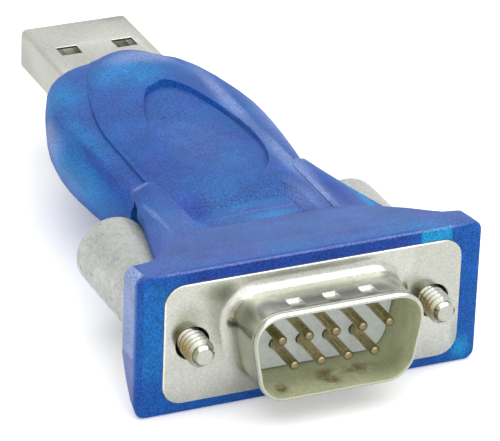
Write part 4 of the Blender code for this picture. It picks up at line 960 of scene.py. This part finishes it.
class ADAPTER_OT_housing(Operator):
    """Make the housing and the cover with soft moulded edges"""

    bl_idname = "adapter.housing"
    bl_label = "Housing and cover"

    def execute(self, context):
        settings = context.scene.adapter_housing
        blue = blue_plastic(settings)
        for node, name in (("main_housing", "moulded_housing"), ("top_cover", "moulded_cover")):
            mesh = merged_copy(node)
            if node == "top_cover":
                self.close_seam(mesh, node, FIT_GAP - settings.seam_left)
            else:
                self.close_plate_gap(mesh, context.scene.adapter_serial_shell,
                                     FIT_GAP - settings.seam_left)
                self.fit_flange(mesh, settings)
                self.round_corners(mesh, settings.corner_radius)
            radius = settings.edge_radius * (COVER_EDGE_SHARE if node == "top_cover" else 1.0)
            round_edges(mesh, radius, math.radians(35.0))
            finished(name, mesh, blue, body_of(node),
                     settings.smooth_angle, (node,))
        return {'FINISHED'}

    def fit_flange(self, mesh, settings):
        """Set the flange's ends a little farther out and make them less deep."""
        flange_depth, end_depth = 11 * MM, 4.4 * MM
        wider_from, wider_over = 15.75 * MM, 0.55 * MM
        thinner_from, thinner_over = 12.0 * MM, 3.5 * MM
        for vert in mesh.verts:
            place = vert.co - CONNECTOR_FACE
            if place.y < flange_depth:
                reach = settings.right_reach if place.x > 0 else -settings.left_reach
                vert.co.x += fade(abs(place.x), wider_from, wider_over) * reach
                cut = settings.end_cut * min(1.0, place.y / end_depth)
                vert.co.y -= fade(abs(place.x), thinner_from, thinner_over) * cut

    def round_corners(self, mesh, radius):
        """Round the flange's two upright front corners."""
        shortest, slack, half_width = 2 * MM, 0.05 * MM, 17.2 * MM
        corners = []
        for edge in mesh.edges:
            first, last = (vert.co for vert in edge.verts)
            upright = abs(first.z - last.z) > shortest
            ahead = max(first.y, last.y) < CONNECTOR_FACE.y + slack
            outside = min(abs(first.x), abs(last.x)) > half_width
            if upright and ahead and outside:
                corners.append(edge)
        bmesh.ops.bevel(mesh, geom=corners, offset=radius, offset_type='OFFSET',
                        affect='EDGES', segments=5, profile=0.5, clamp_overlap=True,
                        material=-1)

    def close_seam(self, mesh, node, distance):
        """Bring the cover's outer walls close to the housing's."""
        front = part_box(node)[0].y
        edge = [vert for vert in mesh.verts if vert.co.y < front + 0.02 * MM]
        bmesh.ops.translate(mesh, verts=edge, vec=(0.0, -distance, 0.0))
        walls = []
        for face in mesh.faces:
            outer = face.normal.x * face.calc_center_median().x > 0.0
            if outer and abs(face.normal.z) < 0.3 and abs(face.normal.x) > 0.3:
                walls.append((face, Vector((face.normal.x, face.normal.y, 0.0))))
        push_walls(walls, distance)

    def close_plate_gap(self, mesh, shell, distance):
        """Bring the walls of the flange's recess close to the plate's edge."""
        mesh.normal_update()
        recess_depth, search = 2.0 * MM, 0.4 * MM
        walls = []
        for face in mesh.faces:
            middle = face.calc_center_median() - CONNECTOR_FACE
            near = -0.1 * MM < middle.y < recess_depth
            rim = (abs(middle.x) > shell.plate_width / 2 - shell.plate_corner
                   or abs(middle.z) > shell.plate_height / 2 - 0.1 * MM)
            within = (abs(middle.x) < shell.plate_width / 2 + search
                      and abs(middle.z) < shell.plate_height / 2 + search)
            inward = face.normal.x * middle.x + face.normal.z * middle.z < 0.0
            if near and rim and within and inward and abs(face.normal.y) < 0.1:
                walls.append((face, Vector((face.normal.x, 0.0, face.normal.z)).normalized()))
        push_walls(walls, distance)


class ADAPTER_OT_usb_plug(Operator):
    """Make the USB plug's folded shell, its tongue and contacts"""

    bl_idname = "adapter.usb_plug"
    bl_label = "USB plug"

    def execute(self, context):
        settings = context.scene.adapter_metal
        low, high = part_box("usb_plug_shell")
        nickel = plated_nickel(settings, "usb nickel", axis=(low + high) / 2)
        mesh = merged_copy("usb_plug_shell")
        round_edges(mesh, settings.rim_radius, math.radians(50.0))
        finished("usb_shell", mesh, nickel, body_of("usb_plug_shell"),
                 math.radians(40.0), ("usb_plug_shell",))
        tongue = merged_copy("usb_insulator")
        end_zone, set_back = 2.2 * MM, 0.25 * MM
        end = [vert for vert in tongue.verts if vert.co.y > high.y - end_zone]
        reach = high.y - set_back - max(vert.co.y for vert in end)
        bmesh.ops.translate(tongue, verts=end, vec=(0.0, reach, 0.0))
        finished("usb_tongue", tongue, moulded("grey tongue", (0.70, 0.69, 0.55), 0.45),
                 body_of("usb_insulator"), math.radians(30.0),
                 ("usb_insulator",))
        dress([f"usb_contact_{n}" for n in range(1, 5)], plated_gold(settings))
        return {'FINISHED'}


class ADAPTER_OT_serial_plug(Operator):
    """Make the serial plug's stamped shells and the block that holds the pins"""

    bl_idname = "adapter.serial_plug"
    bl_label = "Serial plug"

    def execute(self, context):
        settings = context.scene.adapter_metal
        nickel = shell_nickel(settings)
        shell = self.make_shell(context.scene.adapter_serial_shell)
        finished("serial_shell", shell, nickel, body_of("serial_front_shell"),
                 math.radians(32.0), ("serial_front_shell",))
        dress(["serial_rear_shell"], plated_nickel(settings))
        block = self.make_block(settings)
        finished("serial_block", block, moulded("pale block", (0.86, 0.93, 0.99), 0.5),
                 body_of("serial_insulator"), math.radians(25.0),
                 ("serial_insulator",))
        return {'FINISHED'}

    def make_shell(self, shell):
        """Plate and D, drawn towards +Z and then turned to look forward."""
        mesh = bmesh.new()
        skirt, inner, bend_margin, flare_length = 0.08 * MM, 0.1 * MM, 0.1 * MM, 1.1 * MM
        straight_rings, inner_rings = 4, 3
        lean = math.tan(shell.side_angle)
        grow = shell.root + skirt
        half = shell.height / 2 + grow
        side = (shell.width - shell.height * lean) / 2 + grow / math.cos(shell.side_angle)
        mouth = rounded_face(mesh, side - half * lean, side + half * lean, half,
                             shell.corner + grow, shell.corner_segments)
        draw(mesh, mouth, skirt, 0.0)
        steps = shell.fold_segments
        for step in range(1, steps + 1):
            before, after = (math.pi / 2 * count / steps for count in (step - 1, step))
            draw(mesh, mouth, shell.root * (math.sin(after) - math.sin(before)),
                 shell.root * (math.cos(before) - math.cos(after)))
        outer = shell.wall - inner
        bend = shell.dimple_rear + shell.dimple_length + bend_margin
        lip_start = shell.depth - shell.plate_proud - shell.lip_height
        draw(mesh, mouth, 0.0, bend - shell.root)
        for _ in range(straight_rings):
            draw(mesh, mouth, 0.0, (lip_start - bend) / straight_rings)
        for step in range(1, steps + 1):
            before, after = (math.pi / 2 * count / steps for count in (step - 1, step))
            draw(mesh, mouth, outer * (math.cos(before) - math.cos(after)),
                 shell.lip_height * (math.sin(after) - math.sin(before)))
        for step in range(1, inner_rings + 1):
            before, after = (math.pi / 2 * count / inner_rings for count in (step - 1, step))
            draw(mesh, mouth, inner * (math.sin(after) - math.sin(before)),
                 inner * (math.cos(after) - math.cos(before)))
        draw(mesh, mouth, 0.0,
             inner + shell.plate_proud - shell.depth - shell.plate_thickness)
        bmesh.ops.delete(mesh, geom=[mouth], context='FACES_ONLY')
        for vert in mesh.verts:
            share = fade(vert.co.z, bend, flare_length)
            spread = shell.flare * share * share * (3 - 2 * share)
            vert.co.x *= 1.0 + 2 * spread / shell.width
            vert.co.y *= 1.0 + 2 * spread / shell.height
        self.press_dimples(mesh, shell)
        self.add_plate(mesh, shell)
        bmesh.ops.recalc_face_normals(mesh, faces=mesh.faces)
        bmesh.ops.rotate(mesh, verts=mesh.verts, cent=(0, 0, 0),
                         matrix=Matrix.Rotation(math.pi / 2, 3, 'X'))
        bmesh.ops.translate(mesh, verts=mesh.verts,
                            vec=CONNECTOR_FACE - Vector((0.0, shell.plate_proud, 0.0)))
        return mesh

    def press_dimples(self, mesh, shell):
        """Press three wedge shaped dents into the flat top of the D."""
        top = shell.height / 2
        ramp, close = 0.12 * MM, 0.1 * MM

        def flat_faces():
            return [face for face in mesh.faces
                    if face.normal.y > 0.999 and face.calc_center_median().y > top - 0.02 * MM]

        cuts = [((index * shell.dimple_spacing + side * shell.dimple_width / 2, 0, 0), (1, 0, 0))
                for index in (-1, 0, 1) for side in (-1, 1)]
        cuts += [((0, 0, shell.dimple_rear), (0, 0, 1)),
                 ((0, 0, shell.dimple_rear + shell.dimple_length), (0, 0, 1))]
        for place, normal in cuts:
            faces = flat_faces()
            edges = {edge for face in faces for edge in face.edges}
            verts = {vert for face in faces for vert in face.verts}
            bmesh.ops.bisect_plane(mesh, geom=faces + list(edges) + list(verts),
                                   dist=0.0005 * MM, plane_co=place, plane_no=normal)
        middle = shell.dimple_rear + shell.dimple_length / 2
        dents = []
        for index in (-1, 0, 1):
            x = index * shell.dimple_spacing
            dents += [face for face in flat_faces()
                      if abs(face.calc_center_median().x - x) < close
                      and abs(face.calc_center_median().z - middle) < close]
        bmesh.ops.inset_individual(mesh, faces=dents, thickness=ramp, depth=0.0,
                                   use_even_offset=True)
        for face in dents:
            rear = [vert for vert in face.verts if vert.co.z < middle]
            bmesh.ops.translate(mesh, verts=rear, vec=(0.0, -shell.dimple_depth, 0.0))

    def add_plate(self, mesh, shell):
        """Close the plate round the D, with its two screw holes and softened edges."""
        edge_radius, corner_segments, hole_segments = 0.22 * MM, 6, 32
        ends = [edge for edge in mesh.edges if edge.is_boundary]
        root = [edge for edge in ends if edge.verts[0].co.z > -shell.plate_thickness / 2]
        inner = [edge for edge in ends if edge not in root]
        face = rounded_face(mesh, shell.plate_width / 2, shell.plate_width / 2,
                            shell.plate_height / 2, shell.plate_corner, corner_segments)
        rim = list(face.edges)
        bmesh.ops.delete(mesh, geom=[face], context='FACES_ONLY')
        holes = []
        for side in (-1, 1):
            made = bmesh.ops.create_circle(
                mesh, segments=hole_segments, radius=shell.hole_radius,
                matrix=Matrix.Translation((side * shell.screw_spacing / 2, 0.0, 0.0)))
            holes += list({edge for vert in made["verts"] for edge in vert.link_edges})
        bmesh.ops.triangle_fill(mesh, use_beauty=True, edges=root + rim + holes,
                                normal=(0.0, 0.0, 1.0))
        made = bmesh.ops.extrude_edge_only(mesh, edges=rim + holes)["geom"]
        back = [item for item in made if isinstance(item, bmesh.types.BMVert)]
        bmesh.ops.translate(mesh, verts=back, vec=(0.0, 0.0, -shell.plate_thickness))
        rear = [item for item in made if isinstance(item, bmesh.types.BMEdge)
                and item.is_boundary]
        bmesh.ops.triangle_fill(mesh, use_beauty=True, edges=inner + rear,
                                normal=(0.0, 0.0, -1.0))
        bmesh.ops.bevel(mesh, geom=rim, offset=edge_radius, offset_type='OFFSET',
                        affect='EDGES', segments=3, profile=0.5, clamp_overlap=True,
                        material=-1)

    def make_block(self, settings):
        """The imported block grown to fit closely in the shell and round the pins."""
        mesh = merged_copy("serial_insulator")
        distance = FIT_GAP - settings.block_gap_left
        side, top, front_depth = 6.5 * MM, 3.0 * MM, 3 * MM
        hole_low, hole_high = 0.6 * MM, 0.95 * MM
        walls = []
        for face in mesh.faces:
            middle = face.calc_center_median() - CONNECTOR_FACE
            level = Vector((face.normal.x, 0.0, face.normal.z))
            outward = level.x * middle.x + level.z * middle.z > 0.0
            rim = abs(middle.x) > side or abs(middle.z) > top
            if outward and rim and middle.y < front_depth and level.length > 0.9:
                walls.append((face, level))
        push_walls(walls, distance)
        for number in range(1, 10):
            low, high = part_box(f"serial_pin_{number}")
            middle = (low + high) / 2
            for vert in mesh.verts:
                spoke = Vector((vert.co.x - middle.x, 0.0, vert.co.z - middle.z))
                if hole_low < spoke.length < hole_high:
                    vert.co -= spoke.normalized() * distance
        return mesh


class ADAPTER_OT_pins(Operator):
    """Turn the nine gold pins with rounded tips"""

    bl_idname = "adapter.pins"
    bl_label = "Serial pins"

    def execute(self, context):
        settings = context.scene.adapter_metal
        gold = plated_gold(settings)
        shaft_share, tip_share, bore_share = 0.5 / 0.62, 0.9, 0.6
        cup_length, bore_depth, tip_steps = 2.6 * MM, 0.8 * MM, 6
        for number in range(1, 10):
            node = f"serial_pin_{number}"
            low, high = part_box(node)
            middle = (low + high) / 2
            cup = (high.x - low.x) / 2
            radius = cup * shaft_share
            profile = [(0.0, low.y)]
            for step in range(1, tip_steps + 1):
                angle = math.pi / 2 * step / tip_steps
                rise = radius * tip_share * (1 - math.cos(angle))
                profile.append((radius * math.sin(angle), low.y + rise))
            bore = bore_share * cup
            cup_front = high.y - cup_length
            bore_end = cup_front + bore_depth
            profile += [(radius, cup_front), (cup, cup_front), (cup, high.y),
                        (bore, high.y), (bore, bore_end), (0.0, bore_end)]
            mesh = turned(profile, settings.pin_segments)
            bmesh.ops.translate(mesh, verts=mesh.verts, vec=(middle.x, 0.0, middle.z))
            finished(f"turned_pin_{number}", mesh, gold, body_of(node),
                     math.radians(40.0), (node,))
        return {'FINISHED'}


class ADAPTER_OT_thumbscrews(Operator):
    """Turn the frosted knobs and cut the threads of their screws"""

    bl_idname = "adapter.thumbscrews"
    bl_label = "Thumbscrews"

    def execute(self, context):
        settings = context.scene.adapter_thumbscrews
        clear = frosted_clear(settings)
        shaded = (((-13.9, -1.2, 0.2), (1.3, 3.4, 2.6)), ((11.1, -1.2, 0.2), (1.3, 3.4, 2.6)))
        steel = plated_nickel(context.scene.adapter_metal, "turned screw", roughness=0.18,
                              side_share=0.75, shaded=shaded)
        for side in ("left", "right"):
            self.make_knob(settings, side, clear)
            self.make_screw(settings, side, steel)
        return {'FINISHED'}

    def make_knob(self, settings, side, surface):
        """Knob with a blind bore for its screw and a rounded rear edge."""
        node = f"thumbscrew_knob_{side}"
        low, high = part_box(node)
        middle = (low + high) / 2
        radius = (high.x - low.x) / 2
        edge, edge_steps, chamfer = 0.7 * MM, 8, 0.3 * MM
        bore, bore_depth = 1.72 * MM, 10.2 * MM
        profile = [(0.0, low.y + bore_depth), (bore, low.y + bore_depth), (bore, low.y),
                   (radius - chamfer, low.y), (radius, low.y + chamfer)]
        for step in range(edge_steps + 1):
            angle = math.pi / 2 * step / edge_steps
            profile.append((radius - edge * (1 - math.cos(angle)),
                            high.y - edge * (1 - math.sin(angle))))
        profile.append((0.0, high.y))
        mesh = turned(profile, settings.knob_segments)
        bmesh.ops.translate(mesh, verts=mesh.verts, vec=(middle.x, 0.0, middle.z))
        finished(f"frosted_knob_{side}", mesh, surface, body_of(node),
                 math.radians(30.0), (node,))

    def make_screw(self, settings, side, surface):
        """Screw with a pointed core and a ridge wound round it that fades in at the tip."""
        node = f"thumbscrew_screw_{side}"
        low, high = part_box(node)
        middle = (low + high) / 2
        major = (high.x - low.x) / 2
        core = major - settings.thread_depth
        pitch = settings.thread_pitch
        tip = low.y
        steps, point, taper = 40, 0.25 * MM, 0.75 * MM
        whole = turned([(0.0, tip), (core - point, tip), (core - 0.05 * MM, tip + point),
                        (core, tip + 2 * point), (core, high.y), (0.0, high.y)], steps)
        ridge = bmesh.new()
        start, sunk, crest = tip + 0.2 * MM, core - 0.03 * MM, major - 0.02 * MM
        line = [ridge.verts.new((radius, start + share * pitch, 0.0))
                for radius, share in ((sunk, 0.0), (crest, 0.42), (crest, 0.58), (sunk, 1.0))]
        edges = [ridge.edges.new(pair) for pair in zip(line, line[1:])]
        for _ in range(settings.turns):
            made = bmesh.ops.spin(ridge, geom=line + edges, cent=(0, 0, 0), axis=(0, 1, 0),
                                  dvec=(0, pitch / steps, 0), angle=2 * math.pi, steps=steps)
            line = [item for item in made["geom_last"] if isinstance(item, bmesh.types.BMVert)]
            edges = [item for item in made["geom_last"] if isinstance(item, bmesh.types.BMEdge)]
        bmesh.ops.remove_doubles(ridge, verts=ridge.verts, dist=0.002 * MM)
        for vert in ridge.verts:
            radius = math.hypot(vert.co.x, vert.co.z)
            allowed = core - point + (major - core + point) * fade(vert.co.y, tip, taper)
            if radius > allowed:
                vert.co.x *= allowed / radius
                vert.co.z *= allowed / radius
        bmesh.ops.recalc_face_normals(ridge, faces=ridge.faces)
        add_mesh(whole, ridge)
        bmesh.ops.translate(whole, verts=whole.verts, vec=(middle.x, 0.0, middle.z))
        finished(f"threaded_screw_{side}", whole, surface, body_of(node),
                 math.radians(30.0), (node,))


class ADAPTER_OT_inside(Operator):
    """Finish the board and the parts on it"""

    bl_idname = "adapter.inside"
    bl_label = "Board and parts"

    def execute(self, context):
        dress(["circuit_board"], moulded("green lacquer", (0.02, 0.16, 0.07), 0.35))
        dress(["usb_interface_chip", "line_driver_chip", "resistor_1", "resistor_2"],
              moulded("black resin", (0.02, 0.02, 0.022), 0.5))
        dress([f"capacitor_{n}" for n in range(1, 5)],
              moulded("tan ceramic", (0.48, 0.36, 0.22), 0.4))
        dress(["crystal"], plated_nickel(context.scene.adapter_metal, "crystal can", 0.3))
        return {'FINISHED'}


class ADAPTER_OT_stage(Operator):
    """Lay the pale floor, hang the lamps and set the white surroundings"""

    bl_idname = "adapter.stage"
    bl_label = "Floor and lights"

    def execute(self, context):
        settings = context.scene.adapter_stage
        self.make_floor(settings)
        self.make_lamp(context, "key_lamp", Vector((0.08, -0.02, 0.60)), 1.1, settings.key_power)
        self.make_lamp(context, "fill_lamp", Vector((-0.20, -0.55, 0.32)), 0.8,
                       settings.fill_power)
        self.make_world(context, settings)
        context.scene.view_settings.view_transform = 'Standard'
        return {'FINISHED'}

    def make_floor(self, settings):
        """Pale floor that keeps the shadow and is lifted to white for the camera alone."""
        mesh = bmesh.new()
        bmesh.ops.create_grid(mesh, x_segments=8, y_segments=8, size=3.0)
        surface, tree, shader = new_surface("pale floor", Roughness=0.9)
        grain = grouped(tree, speckle_group(), {"Scale": 60.0, "Clouds": 6.0})
        low = tuple(0.995 * channel for channel in settings.floor_colour)
        colour = mixed(tree, grain.outputs["Cloud"], low, tuple(settings.floor_colour))
        tree.links.new(colour, shader.inputs["Base Color"])
        shader.inputs["Emission Color"].default_value = (1.0, 1.0, 1.0, 1.0)
        rays = put(tree, 'ShaderNodeLightPath')
        tree.links.new(scaled(tree, rays.outputs["Is Camera Ray"], settings.floor_lift),
                       shader.inputs["Emission Strength"])
        data = bpy.data.meshes.new("floor")
        mesh.to_mesh(data)
        mesh.free()
        data.materials.append(surface)
        floor = bpy.data.objects.new("floor", data)
        floor.location = (0.0, 0.0, -0.02 * MM)
        bpy.context.collection.objects.link(floor)

    def make_lamp(self, context, name, place, size, power):
        """Soft square lamp turned towards the middle of the object."""
        data = bpy.data.lights.new(name, 'AREA')
        data.shape = 'SQUARE'
        data.size = size
        data.energy = power
        lamp = bpy.data.objects.new(name, data)
        lamp.location = place
        lamp.rotation_euler = (Vector((0, 0, 0.01)) - place).to_track_quat('-Z', 'Y').to_euler()
        context.collection.objects.link(lamp)

    def make_world(self, context, settings):
        """White surroundings, dimmer as a light than they look and mirror."""
        world = bpy.data.worlds.new("white surroundings")
        world.use_nodes = True
        tree = world.node_tree
        back = tree.nodes["Background"]
        back.inputs["Color"].default_value = (1.0, 1.0, 1.0, 1.0)
        rays = put(tree, 'ShaderNodeLightPath')
        seen = put(tree, 'ShaderNodeMath', operation='MAXIMUM')
        seen_too = put(tree, 'ShaderNodeMath', operation='MAXIMUM')
        tree.links.new(rays.outputs["Is Camera Ray"], seen.inputs[0])
        tree.links.new(rays.outputs["Is Glossy Ray"], seen.inputs[1])
        tree.links.new(seen.outputs["Value"], seen_too.inputs[0])
        tree.links.new(rays.outputs["Is Transmission Ray"], seen_too.inputs[1])
        tree.links.new(ranged(tree, seen_too.outputs["Value"], settings.ambient, 1.0),
                       back.inputs["Strength"])
        context.scene.world = world


PIECE_OPERATORS = (ADAPTER_OT_camera, ADAPTER_OT_housing, ADAPTER_OT_usb_plug,
                   ADAPTER_OT_serial_plug, ADAPTER_OT_pins, ADAPTER_OT_thumbscrews,
                   ADAPTER_OT_inside, ADAPTER_OT_stage)


class ADAPTER_PT_panel(Panel):
    """Lists the adapter's pieces in the order in which they are made"""

    bl_idname = "ADAPTER_PT_panel"
    bl_label = "Adapter"
    bl_space_type = 'VIEW_3D'
    bl_region_type = 'UI'
    bl_category = "Adapter"

    def draw(self, context):
        for operator in PIECE_OPERATORS:
            self.layout.operator(operator.bl_idname)


SETTINGS = (("adapter_housing", HousingSettings), ("adapter_metal", MetalSettings),
            ("adapter_serial_shell", SerialShellSettings),
            ("adapter_thumbscrews", ThumbscrewSettings), ("adapter_stage", StageSettings))


def register():
    for name, group in SETTINGS:
        bpy.utils.register_class(group)
        setattr(bpy.types.Scene, name, PointerProperty(type=group))
    for operator in PIECE_OPERATORS:
        bpy.utils.register_class(operator)
    bpy.utils.register_class(ADAPTER_PT_panel)


def unregister():
    bpy.utils.unregister_class(ADAPTER_PT_panel)
    for operator in reversed(PIECE_OPERATORS):
        bpy.utils.unregister_class(operator)
    for name, group in reversed(SETTINGS):
        delattr(bpy.types.Scene, name)
        bpy.utils.unregister_class(group)


def main():
    register()
    for operator in PIECE_OPERATORS:
        space, name = operator.bl_idname.split(".")
        getattr(getattr(bpy.ops, space), name)()


if __name__ == "__main__":
    main()
